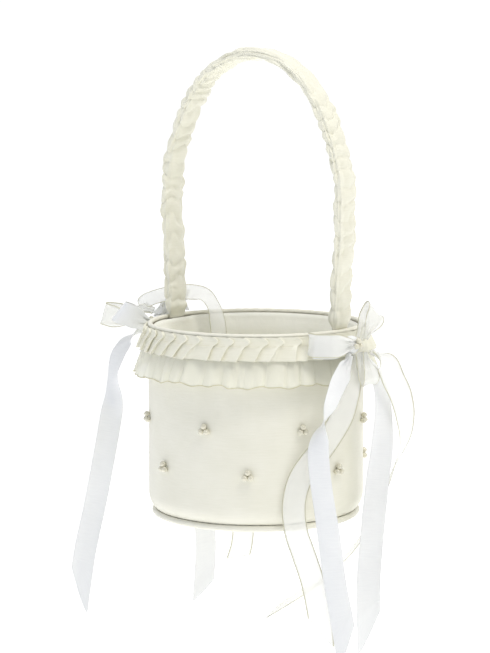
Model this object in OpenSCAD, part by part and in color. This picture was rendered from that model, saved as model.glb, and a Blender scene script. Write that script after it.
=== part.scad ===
// Flower girl basket: a satin covered board tub with a pleated ruffle, an arched
// handle, pearl trios on the wall and a ribbon bow on each foot of the handle.
// Heights are counted from the underside, and every piece is then hung from the
// underside of the handle's crest, where a hand carries it.

/* [Basket] */
// Outside diameter of the covered basket
basket_d = 150; // [132:1:190]
// Height from the underside to the top of the rim roll
basket_h = 135; // [110:1:180]
// Thickness of the tub's board
board_t = 1.5; // [1:0.1:2]
// Radius of the turn at the foot of the covered wall
toe_r = 16; // [14:0.5:20]
// Thickness of the board under the basket
base_board_t = 3.2; // [2.4:0.1:3.6]
// Thickness of the board floor inside the tub
floor_board_t = 2; // [1.5:0.1:3]
// Diameter of the piping round the underside
piping_d = 4.6; // [3.6:0.1:5]
// Diameter of the roll round the rim
rim_roll_d = 3.6; // [3:0.1:4]
// Thickness of the pad on the floor
floor_pad_t = 4; // [2:0.5:10]

/* [Cloth] */
// Thickness of the wadding under the cover
wadding_t = 1; // [0.9:0.1:2]
// Thickness of the satin cover and lining
satin_t = 0.5; // [0.3:0.1:0.7]
// Air left between two layers that lie on each other
layer_gap = 0.05; // [0.03:0.01:0.1]
// Height over which the lining leans out to the rim
lining_lean_h = 12; // [8:1:20]

/* [Ruffle] */
// How far the satin ruffle hangs below the rim
satin_drop = 17; // [12:0.5:24]
// How far the satin ruffle's hem stands off the cover
satin_flare = 7; // [5:0.5:8]
// How far the organza ruffle hangs below the rim
organza_drop = 35; // [28:0.5:38]
// How far the organza ruffle's hem stands off the cover
organza_flare = 12; // [10:0.5:13]
// Depth of the pleats, from fold to fold
pleat_depth = 1.9; // [1.2:0.1:2.4]
// Diameter of the gathering thread
thread_d = 0.6; // [0.4:0.1:1]
// How far below the rim the gathering thread runs
thread_drop = 8; // [5:0.5:10]

/* [Handle] */
// Height of the handle's middle line at the crest, above the rim
handle_rise = 184; // [150:1:230]
// How far each leg of the handle leans out on its way up
handle_belly = 4; // [2:0.5:8]
// Radius of the arcs above the legs
shoulder_r = 132; // [110:1:180]
// Radius of the arc over the crest
crest_r = 60; // [40:1:65]
// Radius of the bend where a leg leaves the tub
foot_bend_r = 60; // [30:1:90]
// Width of the core strip
core_w = 12; // [8:0.5:14]
// Thickness of the core strip
core_t = 2; // [1.5:0.1:2.5]
// Length of core strip inside the tub
foot_depth = 46; // [36:1:60]
// Width of the covered handle
sleeve_w = 19; // [18:0.5:24]
// Thickness of the covered handle
sleeve_t = 7.5; // [6.5:0.5:10]
// Diameter of a rivet's shank
rivet_d = 3; // [2.5:0.1:4]
// Diameter of a rivet's head
rivet_head_d = 6.4; // [5:0.1:8]
// Thickness of a rivet's head
rivet_head_t = 0.8; // [0.5:0.1:0.8]
// Distance between the two rivets of a foot
rivet_pitch = 14; // [10:0.5:18]
// Distance from the core's lower end to the lower rivet
rivet_edge = 9; // [6:0.5:12]

/* [Pearls] */
// Diameter of a pearl
pearl_d = 4; // [3:0.1:5]
// Pearl trios in each row on the wall
trios_per_row = 7; // [4:1:9]
// Height of the upper row of trios
upper_row_z = 70; // [60:1:80]
// Height of the lower row of trios
lower_row_z = 40; // [30:1:50]
// Bearing of the first trio of the upper row
upper_row_turn = -80.5; // [-100:0.5:-60]
// Bearing of the first trio of the lower row
lower_row_turn = -57.5; // [-80:0.5:-40]

/* [Bows] */
// Width of the satin ribbon
satin_ribbon_w = 16; // [10:0.5:20]
// Width of the organza ribbon
organza_ribbon_w = 16; // [10:0.5:20]
// Thickness of the satin ribbon
satin_ribbon_t = 0.6; // [0.4:0.1:0.8]
// Thickness of the right bow's side tail, drawn thicker than the other ribbons
side_tail_t = 0.9; // [0.8:0.1:1.2]
// Thickness of the organza ribbon
organza_ribbon_t = 0.5; // [0.4:0.1:0.7]
// Diameter of a knot
knot_d = 9; // [7:0.5:10]
// Height of a knot
knot_h = 11; // [8:0.5:14]
// Bearing of the knot on the right foot
right_knot_turn = -6.5; // [-10:0.5:0]
// Share of its width that a ribbon keeps in the knot
pinch = 0.4; // [0.3:0.05:1]

/* [Hidden] */

$fn = 96;

IVORY = [0.93, 0.92, 0.86];
PALE_IVORY = [0.96, 0.955, 0.92];
BOARD = [0.72, 0.62, 0.48];
WADDING = [0.97, 0.97, 0.96];
PEARL = [0.95, 0.92, 0.86];
STRIP = [0.88, 0.88, 0.85];
STEEL = [0.7, 0.7, 0.72];

// Radii of the layers of the wall, from the cover inwards
cover_r = basket_d / 2;
wadding_r = cover_r - satin_t - layer_gap;
tub_r = wadding_r - wadding_t - layer_gap;
tub_in_r = tub_r - board_t;

// The foot of the wall turns in round one centre
toe_x = cover_r - toe_r;
toe_board_r = toe_r - (cover_r - tub_r);

// The underside, from the base cover up
base_z = satin_t + layer_gap;
base_top_z = base_z + base_board_t;
piping_z = piping_d / 2 + 2 * layer_gap;
cover_turn = asin(1 - (piping_z + piping_d / 2 + 2 * layer_gap) / toe_r);
piping_x = toe_x + toe_r * cos(cover_turn);
base_r = piping_x - piping_d / 2 - 0.3;
board_turn = asin((toe_r - base_top_z - layer_gap) / toe_board_r);

// The floor rests on the turned-in board
toe_in_r = toe_board_r - board_t;
floor_seat = 0.6;
floor_z = toe_r - toe_in_r * sin(board_turn) + floor_seat;
floor_r = toe_x + sqrt(pow(toe_in_r, 2) - pow(toe_r - floor_z, 2)) - layer_gap;
floor_top_z = floor_z + floor_board_t;

// The rim
rim_roll_x = cover_r + 0.55 - rim_roll_d / 2;
rim_roll_z = basket_h - rim_roll_d / 2;
wall_top_z = basket_h - rim_roll_d - layer_gap;

// The core strip stands on the wall inside the tub
foot_x = sqrt(pow(tub_in_r, 2) - pow(core_w / 2, 2)) - 0.1 - core_t / 2;
foot_low_z = basket_h - foot_depth;
lining_r = foot_x - core_t / 2 - rivet_head_t - layer_gap - 0.2;
lining_top_r = rim_roll_x - rim_roll_d / 2 - layer_gap - 0.15;
lining_low_z = floor_top_z + layer_gap;
lean_z = basket_h - rim_roll_d - lining_lean_h;
pad_r = lining_r - satin_t - 0.2;
pad_top_z = floor_top_z + layer_gap + floor_pad_t;

// The handle's middle line: bend, straight leg, shoulder arc and crest arc
bend_z = basket_h + 0.5;
bend_x = foot_x + foot_bend_r;
shoulder_x = foot_x + handle_belly - shoulder_r;
shoulder_turn = acos(-shoulder_x / (shoulder_r - crest_r));
crest_z = basket_h + handle_rise;
crest_mid_z = crest_z - crest_r;
shoulder_z = crest_mid_z - (shoulder_r - crest_r) * sin(shoulder_turn);
leg_reach = norm([bend_x - shoulder_x, shoulder_z - bend_z]);
leg_lean = asin((shoulder_r + foot_bend_r) / leg_reach)
    - atan2(bend_x - shoulder_x, shoulder_z - bend_z);
leg_run = sqrt(pow(leg_reach, 2) - pow(shoulder_r + foot_bend_r, 2));
leg_x = bend_x - foot_bend_r * cos(leg_lean);
leg_z = bend_z + foot_bend_r * sin(leg_lean);
padding_gap = 0.1;
grip_z = crest_z - sleeve_t / 2;

// The bows
knot_off = satin_flare + knot_d / 2 + 1;
knot_z = basket_h - 9;
trio_pitch = pearl_d + 0.1;

// Ribbon rows: bearing round the basket, distance off the cover, height on a basket
// of row_h, then the bearing and the rise of the ribbon's width
row_h = 135;
near_rim = 40;
SATIN_STEPS = 3;

left_satin_loop_a = [
    [184, 13, 127, 37, 80], [189.5, 16, 129, 37, 65], [194, 22, 133.5, 37, 52],
    [195.5, 28, 136, 37, 49], [193.5, 31, 137, 37, 49], [189.5, 27, 134, 37, 55],
    [185.5, 20, 130, 37, 70], [183.5, 16.5, 127, 37, 80]
];
left_satin_loop_b = [
    [176, 17.5, 130, 90, 80], [171.5, 19, 133, 80, 70], [167, 13.5, 138.5, 62, 60],
    [164.5, 8.5, 141.5, 62, 55], [163, 11.5, 141.5, 62, 55], [164, 18, 138, 62, 60],
    [169, 24, 133, 80, 70], [175, 22.5, 130, 90, 80]
];
left_organza_outer = [
    [184.5, 23.5, 130, 37, 85], [184.5, 31, 131.5, 37, 82], [186, 40, 132.5, 37, 78],
    [187.5, 48, 133, 37, 75], [189.5, 48.5, 133, 37, 75], [189, 41, 131, 37, 78],
    [187.5, 33, 129, 37, 82], [186.5, 26, 128, 37, 85]
];
left_organza_over = [
    [177, 21, 134, 110, 50], [179.5, 29, 138.5, 120, 42], [176, 24, 143.5, 125, 40],
    [170, 13, 147, 127, 40], [164.5, 2, 148, 127, 36], [160, -8, 146, 120, 26],
    [157.5, -16, 138.5, 100, 8], [157, -20, 129, 85, 0], [157, -22, 118, 82, 0],
    [157, -22.5, 101, 80, 0]
];
left_front_tail = [
    [186.5, 31, 115, -15, 20], [188.5, 33.5, 109.5, -15, 8], [190.5, 36, 102, -18, 0],
    [192, 38, 89, -25, 0], [192.5, 37, 73, 5, 0], [193, 39, 59, 35, 0],
    [194, 43, 34, 38, 0], [195, 50, -4, 37, 0], [196.5, 57, -40, 35, 0],
    [197.5, 63, -81, 35, 0]
];
left_back_tail = [
    [175, 15.5, 113, 88, -25], [171, 17.5, 106, 82, -10], [167, 18.5, 93, 76, 0],
    [161, 18, 55, 66, 0], [155, 15, 8, 62, 0], [152, 13, -32, 62, 0],
    [152, 13, -54, 62, 0], [153, 14, -78, 60, 0]
];
left_veil_tail = [
    [171, 25, 115, 84, -25], [166, 28, 104, 78, -12], [160, 29, 90, 72, 0],
    [148, 27, 48, 60, 0], [139, 21, 8, 52, 0], [133.5, 15, -26, 48, 0],
    [133.5, 13, -42, 40, 0], [136, 13, -54, 38, 0]
];
right_satin_side = [
    [-9.7, 13, 127, 80, 85], [-15, 15, 127, 70, 85], [-21, 13.5, 127, 60, 84],
    [-25.5, 10.5, 127, 50, 82], [-26.5, 13, 127, 50, 82], [-22, 18.5, 127, 60, 84],
    [-15, 20, 127, 70, 85], [-10.2, 17, 127, 80, 85]
];
right_organza_side = [
    [-10.6, 20.5, 128, 80, 85], [-15, 23.5, 128, 70, 85], [-21.5, 22, 128, 60, 84],
    [-27, 16, 128, 50, 82], [-29, 12.5, 128.5, 50, 82], [-28.5, 9, 129.5, 50, 82],
    [-24.5, 8.2, 130.5, 60, 84], [-20, 8.8, 131, 70, 84]
];
right_organza_up = [
    [-1.5, 18, 130, 60, -30], [1, 19.5, 137, 60, -40], [3.7, 21, 144, 60, -43],
    [5.5, 19.5, 148, 60, -43], [7, 16.5, 147.5, 60, -43], [6, 13.5, 141.5, 60, -43],
    [2.5, 12.5, 134, 60, -40], [-0.5, 12.5, 129, 60, -30]
];
right_organza_down = [
    [-4.5, 19.5, 115, 87, 0], [-3.5, 20, 109, 87, 0], [-3, 21, 103.5, 87, 0],
    [-2.7, 22.8, 99.5, 87, 0], [-2.5, 25, 103, 87, 0], [-3.3, 24.8, 109, 87, 0],
    [-4, 22.5, 114.5, 87, 0]
];
right_front_tail = [
    [-12, 17, 114, 88, -35], [-15.5, 20, 109.5, 86, -20], [-19, 22.3, 104.5, 84, -8],
    [-21.5, 23.5, 98, 82, 0], [-23.5, 22.5, 88, 90, 0], [-25.5, 21, 77, 125, 0],
    [-27, 20, 66, 170, 0], [-27.5, 19.5, 54, 187, 0], [-26, 20.5, 30, 190, 0],
    [-23.5, 22, 2, 193, 0], [-21, 23, -30, 198, 0], [-18.5, 26, -58, 203, 0],
    [-16, 29, -88, 205, 0]
];
right_side_tail = [
    [3, 15.5, 113, 100, -15], [5, 17, 108, 100, -8], [7, 19, 101.5, 98, 0],
    [8, 21.5, 91.5, 92, 0], [7.4, 23.5, 76, 78, 0], [6, 24, 53, 55, 0],
    [4.9, 22, 31, 43, 0], [3.6, 19.1, -9, 37, 0], [2.6, 17.7, -45, 36, 0],
    [3.1, 18.5, -89, 39, 0]
];
right_outer_tail = [
    [2.5, 29.5, 115, 60, -20], [4.5, 31, 109, 57, -10], [6.5, 32, 102, 55, -5],
    [10.5, 34, 90, 60, 0], [13.8, 35, 74, 72, 0], [15, 33.5, 57, 92, 0],
    [14.5, 25, 34, 122, 0], [13, 20.5, 20, 127, 0], [11, 12.5, 2, 127, 0],
    [7, 0.5, -19, 127, 0], [-2, -14, -38, 127, 0], [-14, -26, -49, 126, 4],
    [-44, -37, -64, 122, 8]
];
right_inner_tail = [
    [-7, 13.5, 113.5, 70, -5], [-9, 15.5, 104, 60, 0], [-12, 17.5, 92, 50, 0],
    [-15, 16.5, 78, 46, 0], [-21, 12, 61, 44, 0], [-27.5, 8.5, 48, 38, 0],
    [-32.5, 6.5, 36, 30, 0], [-35, 6, 20, 28, 0], [-34, 6.5, 2, 32, 0],
    [-30.5, 8, -14, 38, 0], [-27, 10.5, -32, 44, 0], [-24.5, 13, -54, 44, 0],
    [-23, 14, -76, 40, 0]
];

// Hangs a piece drawn from the underside up at its place under the grip
module hang() {
    translate([0, 0, -grip_z]) children();
}

// Half profile of one layer of the wall: its straight part and its turned-in toe
module layer_profile(outer_r, thick, top_z, turn) {
    toe_layer_r = toe_r - (cover_r - outer_r);
    far = 2 * toe_r;
    translate([outer_r - thick, toe_r]) square([thick, top_z - toe_r]);
    translate([toe_x, toe_r]) intersection() {
        difference() {
            circle(r = toe_layer_r);
            circle(r = toe_layer_r - thick);
        }
        polygon([[0, 0], [far * cos(turn), -far * sin(turn)], [far, -far], [far, 0]]);
    }
}

module ring_of(x, z, d) {
    rotate_extrude() translate([x, z]) circle(d = d);
}

module disc(r, low_z, thick) {
    translate([0, 0, low_z]) cylinder(r = r, h = thick);
}

// Heights of the two rivets of a foot
rivet_low_z = foot_low_z + rivet_edge;
rivet_zs = [rivet_low_z, rivet_low_z + rivet_pitch];

module at_feet() {
    for (side = [0, 180]) rotate([0, 0, side]) children();
}

// A round bar along X at each rivet's place, from one distance out to another
module rivet_bars(from_x, to_x, d) {
    at_feet() for (z = rivet_zs)
        translate([from_x, 0, z]) rotate([0, 90, 0]) cylinder(d = d, h = to_x - from_x);
}

module tub_wall() {
    hang() color(BOARD) difference() {
        rotate_extrude() layer_profile(tub_r, board_t, wall_top_z, board_turn);
        rivet_bars(tub_in_r - 3, tub_r + 3, rivet_d + 0.1);
    }
}

module tub_floor() {
    hang() color(BOARD) disc(floor_r, floor_z, floor_board_t);
}

module base_board() {
    hang() color(BOARD) disc(base_r, base_z, base_board_t);
}

module base_cover() {
    hang() color(IVORY) disc(base_r, 0, satin_t);
}

module base_piping() {
    hang() color(IVORY) ring_of(piping_x, piping_z, piping_d);
}

module wall_wadding() {
    hang() color(WADDING) difference() {
        rotate_extrude() layer_profile(wadding_r, wadding_t, wall_top_z, cover_turn);
        rivet_bars(tub_r - 1, wadding_r + 1, rivet_head_d + 0.6);
    }
}

module outer_cover() {
    hang() color(IVORY) rotate_extrude() layer_profile(cover_r, satin_t, wall_top_z, cover_turn);
}

// The lining is a bag with a slot for each leg of the handle
module lining_wall() {
    top_z = wall_top_z + 1;
    slot_low_z = lean_z + 1;
    hang() color(IVORY) difference() {
        rotate_extrude() polygon([
            [lining_r - satin_t, lining_low_z], [lining_r, lining_low_z],
            [lining_r, lean_z], [lining_top_r, top_z],
            [lining_top_r - satin_t, top_z], [lining_r - satin_t, lean_z]
        ]);
        at_feet() translate([lining_r - 3, -core_w / 2 - 0.5, slot_low_z])
            cube([cover_r, core_w + 1, basket_h]);
    }
}

module floor_pad() {
    hang() color(WADDING) disc(pad_r, floor_top_z + layer_gap, floor_pad_t);
}

module floor_lining() {
    hang() color(IVORY) disc(pad_r, pad_top_z + layer_gap, satin_t);
}

module rim_roll() {
    hang() color(IVORY) ring_of(rim_roll_x, rim_roll_z, rim_roll_d);
}

// Distance of the satin ruffle's face off the cover at a depth below the rim
satin_head_drop = 2.2;
satin_head_off = 0.75;
function satin_off(drop) =
    satin_head_off
    + (satin_flare - pleat_depth - satin_head_off)
    * (drop - satin_head_drop) / (satin_drop - satin_head_drop);

module satin_ruffle() {
    hang() color(IVORY) rotate_extrude() polygon([
        [cover_r + satin_off(satin_head_drop), basket_h - satin_head_drop],
        [cover_r + satin_off(satin_head_drop) + pleat_depth, basket_h - satin_head_drop],
        [cover_r + satin_flare, basket_h - satin_drop],
        [cover_r + satin_off(satin_drop), basket_h - satin_drop]
    ]);
}

module organza_ruffle() {
    head = rim_roll_d + 1;
    mid = satin_drop;
    cloth = 1.2;
    clear = 0.3;
    hang() color(PALE_IVORY) rotate_extrude() polygon([
        [cover_r + layer_gap, basket_h - head],
        [cover_r + satin_off(head) - clear, basket_h - head],
        [cover_r + satin_off(mid) - clear, basket_h - mid],
        [cover_r + organza_flare, basket_h - organza_drop],
        [cover_r + organza_flare - cloth, basket_h - organza_drop - cloth / 2],
        [cover_r + satin_off(mid) - clear - cloth, basket_h - mid - cloth / 2]
    ]);
}

module ruffle_thread() {
    ring_x = cover_r + satin_off(thread_drop) + pleat_depth + thread_d / 2 + layer_gap;
    hang() color(PALE_IVORY) ring_of(ring_x, basket_h - thread_drop, thread_d);
}

// Extra thickness where one stretch of the arch laps the next, so they grow together
$lap = 0;
lap_t = 0.02;
lap_run = 0.3;

// Flat section with round corners, thick along X and wide along Y
module strip_section(thick, wide, corner) {
    square([thick, wide - 2 * corner], center = true);
    square([thick - 2 * corner, wide], center = true);
    for (x = [-1, 1], y = [-1, 1])
        translate([x * (thick / 2 - corner), y * (wide / 2 - corner)]) circle(r = corner, $fn = 32);
}

// A straight stretch of the arch that reaches a little into the stretches next to it
module lapped_run(run) {
    translate([0, 0, -lap_run]) linear_extrude(run + 2 * lap_run) let ($lap = lap_t) children();
}

// Carries a section along the handle from one foot bend over the crest to the other
module along_arch() {
    for (side = [0, 180]) rotate([0, 0, side]) {
        translate([bend_x, 0, bend_z]) rotate([90, 180 + leg_lean, 0])
            rotate_extrude(angle = leg_lean) translate([foot_bend_r, 0]) children();
        translate([leg_x, 0, leg_z]) rotate([0, leg_lean, 0]) lapped_run(leg_run) children();
        translate([shoulder_x, 0, shoulder_z]) rotate([90, leg_lean, 0])
            rotate_extrude(angle = leg_lean + shoulder_turn)
                translate([shoulder_r, 0]) children();
        translate([crest_r * cos(shoulder_turn), 0, crest_mid_z + crest_r * sin(shoulder_turn)])
            rotate([0, -shoulder_turn, 0]) lapped_run(0) children();
    }
    translate([0, 0, crest_mid_z]) rotate([90, -shoulder_turn, 0])
        rotate_extrude(angle = 180 - 2 * shoulder_turn) translate([crest_r, 0]) children();
}

module core_section() {
    strip_section(core_t + 2 * $lap, core_w + 2 * $lap, 0.5);
}

module handle_core() {
    hang() color(STRIP) difference() {
        union() {
            along_arch() core_section();
            at_feet() translate([foot_x, 0, foot_low_z])
                lapped_run(bend_z - foot_low_z) core_section();
        }
        rivet_bars(foot_x - 5, foot_x + 5, rivet_d + 0.1);
    }
}

padding_out_t = sleeve_t - 2 * satin_t - 2 * padding_gap;
padding_out_w = sleeve_w - 2 * satin_t - 2 * padding_gap;

module padding_section() {
    difference() {
        strip_section(padding_out_t + 2 * $lap, padding_out_w + 2 * $lap, 2);
        strip_section(core_t + 2 * padding_gap - 2 * $lap, core_w + 2 * padding_gap - 2 * $lap, 0.5);
    }
}

module handle_padding() {
    hang() color(WADDING) along_arch() padding_section();
}

module sleeve_section() {
    difference() {
        strip_section(sleeve_t + 2 * $lap, sleeve_w + 2 * $lap, 2.5);
        strip_section(sleeve_t - 2 * satin_t - 2 * $lap, sleeve_w - 2 * satin_t - 2 * $lap, 2.1);
    }
}

module handle_sleeve() {
    hang() color(IVORY) along_arch() sleeve_section();
}

// Each rivet holds the core strip to the tub with a head on both faces
module handle_rivets() {
    inner_x = foot_x - core_t / 2 - layer_gap;
    outer_x = tub_r + layer_gap;
    hang() color(STEEL) {
        rivet_bars(inner_x - rivet_head_t, inner_x, rivet_head_d);
        rivet_bars(inner_x - rivet_head_t / 2, outer_x + rivet_head_t / 2, rivet_d);
        rivet_bars(outer_x, outer_x + rivet_head_t, rivet_head_d);
    }
}

// Three pearls in a triangle, sewn flat on the cover
module pearl_trio(z, off) {
    rise = trio_pitch * sqrt(3) / 2;
    half_turn = asin(trio_pitch / 2 / (cover_r + off));
    for (spot = [[0, rise / 2], [-half_turn, -rise / 2], [half_turn, -rise / 2]])
        rotate([0, 0, spot[0]]) translate([cover_r + off, 0, z + spot[1]])
            sphere(d = pearl_d, $fn = 32);
}

module pearl_row(z, first_turn) {
    for (i = [0:trios_per_row - 1])
        rotate([0, 0, first_turn + i * 360 / trios_per_row])
            pearl_trio(z, pearl_d / 2 + layer_gap);
}

module upper_pearls() {
    hang() color(PEARL) pearl_row(upper_row_z, upper_row_turn);
}

module lower_pearls() {
    hang() color(PEARL) pearl_row(lower_row_z, lower_row_turn);
}

// A knot is a short barrel, and its pearls sit on its outer face
module knot(turn) {
    end_d = 0.8 * knot_d;
    rotate([0, 0, turn]) translate([cover_r + knot_off, 0, knot_z]) rotate_extrude() polygon([
        [0, -knot_h / 2], [end_d / 2, -knot_h / 2], [knot_d / 2, -knot_h / 5],
        [knot_d / 2, knot_h / 5], [end_d / 2, knot_h / 2], [0, knot_h / 2]
    ]);
}

module bow_pearls(turn) {
    rotate([0, 0, turn]) pearl_trio(knot_z + 1.5, knot_off + (knot_d + pearl_d) / 2 + layer_gap);
}

// Height of a ribbon's row on a basket of this height
function row_z(z) =
    z > row_h - near_rim ? z + basket_h - row_h
    : z > 0 ? z * (basket_h - near_rim) / (row_h - near_rim)
    : z;

function row_point(row) =
    let (r = cover_r + row[1])
    [r * cos(row[0]), r * sin(row[0]), row_z(row[2])];

function row_across(row) = [cos(row[3]) * cos(row[4]), sin(row[3]) * cos(row[4]), sin(row[4])];

function unit(v) = v / norm(v);

// Smooth value between rows b and c, with their neighbours a and d
function blend(a, b, c, d, t) =
    0.5 * (2 * b + t * (c - a) + t * t * (2 * a - 5 * b + 4 * c - d)
    + t * t * t * (3 * b - a - 3 * c + d));

function smooth_rows(rows, steps) =
    let (last = len(rows) - 1)
    [
        for (i = [0:last - 1], k = [0:steps - 1])
            blend(rows[max(i - 1, 0)], rows[i], rows[i + 1], rows[min(i + 2, last)], k / steps),
        rows[last]
    ];

// Share of the full width at a ring, pinched where the ribbon enters its knot
function width_share(i, last, two_ends) =
    let (from_knot = two_ends ? min(i, last - i) : i)
    min(1, pinch + (1 - pinch) * from_knot / 5);

// A ribbon swept along its rows
module ribbon(rows, wide, thick, two_ends) {
    fine = smooth_rows(rows, SATIN_STEPS);
    last = len(fine) - 1;
    spots = [for (row = fine) row_point(row)];
    corners = [
        for (i = [0:last])
            let (
                run = unit(spots[min(i + 1, last)] - spots[max(i - 1, 0)]),
                hint = row_across(fine[i]),
                across = unit(hint - (hint * run) * run) * wide / 2 * width_share(i, last, two_ends),
                face = unit(cross(run, across)) * thick / 2
            )
            each [spots[i] + across + face, spots[i] - across + face,
                spots[i] - across - face, spots[i] + across - face]
    ];
    sides = [
        for (i = [0:last - 1], j = [0:3])
            let (
                a = 4 * i + j,
                b = 4 * i + (j + 1) % 4,
                c = b + 4,
                d = a + 4
            )
            each [[a, d, c], [a, c, b]]
    ];
    ends = [[0, 1, 2], [0, 2, 3],
        [4 * last + 2, 4 * last + 1, 4 * last], [4 * last + 3, 4 * last + 2, 4 * last]];
    polyhedron(points = corners, faces = concat(sides, ends));
}

module satin_loop(rows) {
    ribbon(rows, satin_ribbon_w, satin_ribbon_t, true);
}

module satin_tail(rows) {
    ribbon(rows, satin_ribbon_w, satin_ribbon_t, false);
}

module organza_loop(rows) {
    ribbon(rows, organza_ribbon_w, organza_ribbon_t, true);
}

module organza_tail(rows) {
    ribbon(rows, organza_ribbon_w, organza_ribbon_t, false);
}

module left_knot() {
    hang() color(IVORY) knot(180);
}

module left_bow_pearls() {
    hang() color(PEARL) bow_pearls(180);
}

module left_satin_loops() {
    hang() color(IVORY) {
        satin_loop(left_satin_loop_a);
        satin_loop(left_satin_loop_b);
    }
}

module left_organza_loop() {
    hang() color(PALE_IVORY) organza_loop(left_organza_outer);
}

module left_organza_inner_tail() {
    hang() color(PALE_IVORY) organza_tail(left_organza_over);
}

module left_satin_front_tail() {
    hang() color(IVORY) satin_tail(left_front_tail);
}

module left_satin_back_tail() {
    hang() color(IVORY) satin_tail(left_back_tail);
}

module left_organza_tail() {
    hang() color(PALE_IVORY) organza_tail(left_veil_tail);
}

module right_knot() {
    hang() color(IVORY) knot(right_knot_turn);
}

module right_bow_pearls() {
    hang() color(PEARL) bow_pearls(right_knot_turn);
}

module right_satin_loop() {
    hang() color(IVORY) satin_loop(right_satin_side);
}

module right_organza_loops() {
    hang() color(PALE_IVORY) {
        organza_loop(right_organza_side);
        organza_loop(right_organza_up);
    }
}

module right_drop_loop() {
    hang() color(PALE_IVORY) organza_loop(right_organza_down);
}

module right_satin_front_tail() {
    hang() color(IVORY) satin_tail(right_front_tail);
}

// Thicker than the real ribbon: any thinner, this long strip doesn't read reliably as a solid
module right_satin_side_tail() {
    hang() color(IVORY) ribbon(right_side_tail, satin_ribbon_w, side_tail_t, false);
}

module right_organza_outer_tail() {
    hang() color(PALE_IVORY) organza_tail(right_outer_tail);
}

module right_organza_inner_tail() {
    hang() color(PALE_IVORY) organza_tail(right_inner_tail);
}

tub_wall();
tub_floor();
base_board();
base_cover();
base_piping();
wall_wadding();
outer_cover();
lining_wall();
floor_pad();
floor_lining();
rim_roll();
satin_ruffle();
organza_ruffle();
ruffle_thread();
handle_core();
handle_padding();
handle_sleeve();
handle_rivets();
upper_pearls();
lower_pearls();
left_knot();
left_bow_pearls();
left_satin_loops();
left_organza_loop();
left_organza_inner_tail();
left_satin_front_tail();
left_satin_back_tail();
left_organza_tail();
right_knot();
right_bow_pearls();
right_satin_loop();
right_organza_loops();
right_drop_loop();
right_satin_front_tail();
right_satin_side_tail();
right_organza_outer_tail();
right_organza_inner_tail();
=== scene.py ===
"""The looks of the flower girl basket: satin, organza, ribbon and pearls round the CAD frame."""

import logging
import math
from dataclasses import dataclass
from enum import Enum
from typing import Callable, Iterable, Sequence

import bpy
import numpy as np
from mathutils import Matrix, Vector, noise


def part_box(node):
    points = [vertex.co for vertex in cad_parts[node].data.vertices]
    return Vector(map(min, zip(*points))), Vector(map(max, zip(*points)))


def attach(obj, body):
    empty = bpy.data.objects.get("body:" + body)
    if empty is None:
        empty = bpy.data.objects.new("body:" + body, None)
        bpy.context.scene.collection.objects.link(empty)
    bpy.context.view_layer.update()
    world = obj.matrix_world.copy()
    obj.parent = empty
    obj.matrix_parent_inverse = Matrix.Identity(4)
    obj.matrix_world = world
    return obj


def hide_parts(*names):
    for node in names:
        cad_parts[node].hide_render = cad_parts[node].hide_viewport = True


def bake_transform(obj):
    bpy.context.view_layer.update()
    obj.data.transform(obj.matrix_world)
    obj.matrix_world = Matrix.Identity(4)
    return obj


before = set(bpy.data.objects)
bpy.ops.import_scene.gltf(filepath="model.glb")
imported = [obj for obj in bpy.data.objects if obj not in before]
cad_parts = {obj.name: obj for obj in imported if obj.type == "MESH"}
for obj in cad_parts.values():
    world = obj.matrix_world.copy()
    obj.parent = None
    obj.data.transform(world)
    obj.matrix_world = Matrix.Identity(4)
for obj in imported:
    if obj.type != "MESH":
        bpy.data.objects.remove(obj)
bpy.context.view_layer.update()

MM = 0.001
TAU = 2 * math.pi
LOG = logging.getLogger("basket")

Row = tuple[float, float, float, float, float]


# ------------------------------------------------------------------ places


@dataclass(frozen=True)
class Datum:
    """The places that every piece is measured from, read from the CAD model, in metres."""

    under: float
    rim: float
    cover_r: float

    @classmethod
    def from_frame(cls) -> "Datum":
        """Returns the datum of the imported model."""
        return cls(
            under=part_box("base_cover")[0][2],
            rim=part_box("rim_roll")[1][2],
            cover_r=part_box("outer_cover")[1][0],
        )

    def spot(self, bearing: float, off: float, height: float) -> np.ndarray:
        """Finds a point beside the basket.

        Args:
            bearing: Angle round the basket, in degrees.
            off: Distance off the cover, in millimetres.
            height: Height above the underside, in millimetres.

        Returns:
            The point in the row frame, in metres.
        """
        turn = math.radians(bearing)
        r = self.cover_r + off * MM
        return np.array([r * math.cos(turn), r * math.sin(turn), self.under + height * MM])


def smooth(low: float, high: float, value: np.ndarray) -> np.ndarray:
    """Rises smoothly from 0 at low to 1 at high."""
    share = np.clip((value - low) / (high - low), 0.0, 1.0)
    return share * share * (3 - 2 * share)


def ripple(x: np.ndarray, y: np.ndarray, seed: float) -> np.ndarray:
    """Gives gentle noise from -1 to 1 over two coordinates, the same on every run.

    Args:
        x: First coordinate, in lumps.
        y: Second coordinate, in lumps.
        seed: Shifts the noise, so that two pieces differ.

    Returns:
        The noise, shaped as x and y are together.
    """
    wide, tall = np.broadcast_arrays(x, y)
    flat = [noise.noise(Vector((a, b, seed))) for a, b in zip(wide.ravel(), tall.ravel())]
    return 1.6 * np.array(flat).reshape(wide.shape)


def polar(points: np.ndarray) -> tuple[np.ndarray, np.ndarray, np.ndarray]:
    """Splits points, one a row, into bearing in radians, distance from the Z axis and height."""
    x, y, z = points.T
    return np.arctan2(y, x), np.hypot(x, y), z


def round_points(turn: np.ndarray, radius: np.ndarray, height: np.ndarray | float) -> np.ndarray:
    """Joins bearing in radians, distance from the Z axis and height into points, one a row."""
    level = np.broadcast_to(height, turn.shape)
    return np.stack([radius * np.cos(turn), radius * np.sin(turn), level], axis=-1)


def spread(points: np.ndarray, move: np.ndarray) -> np.ndarray:
    """Moves points, one a row, straight away from the Z axis."""
    scale = 1 + move / np.hypot(points[:, 0], points[:, 1])
    return points * np.stack([scale, scale, np.ones_like(scale)], axis=-1)


# ------------------------------------------------------------- mesh helpers


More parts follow.
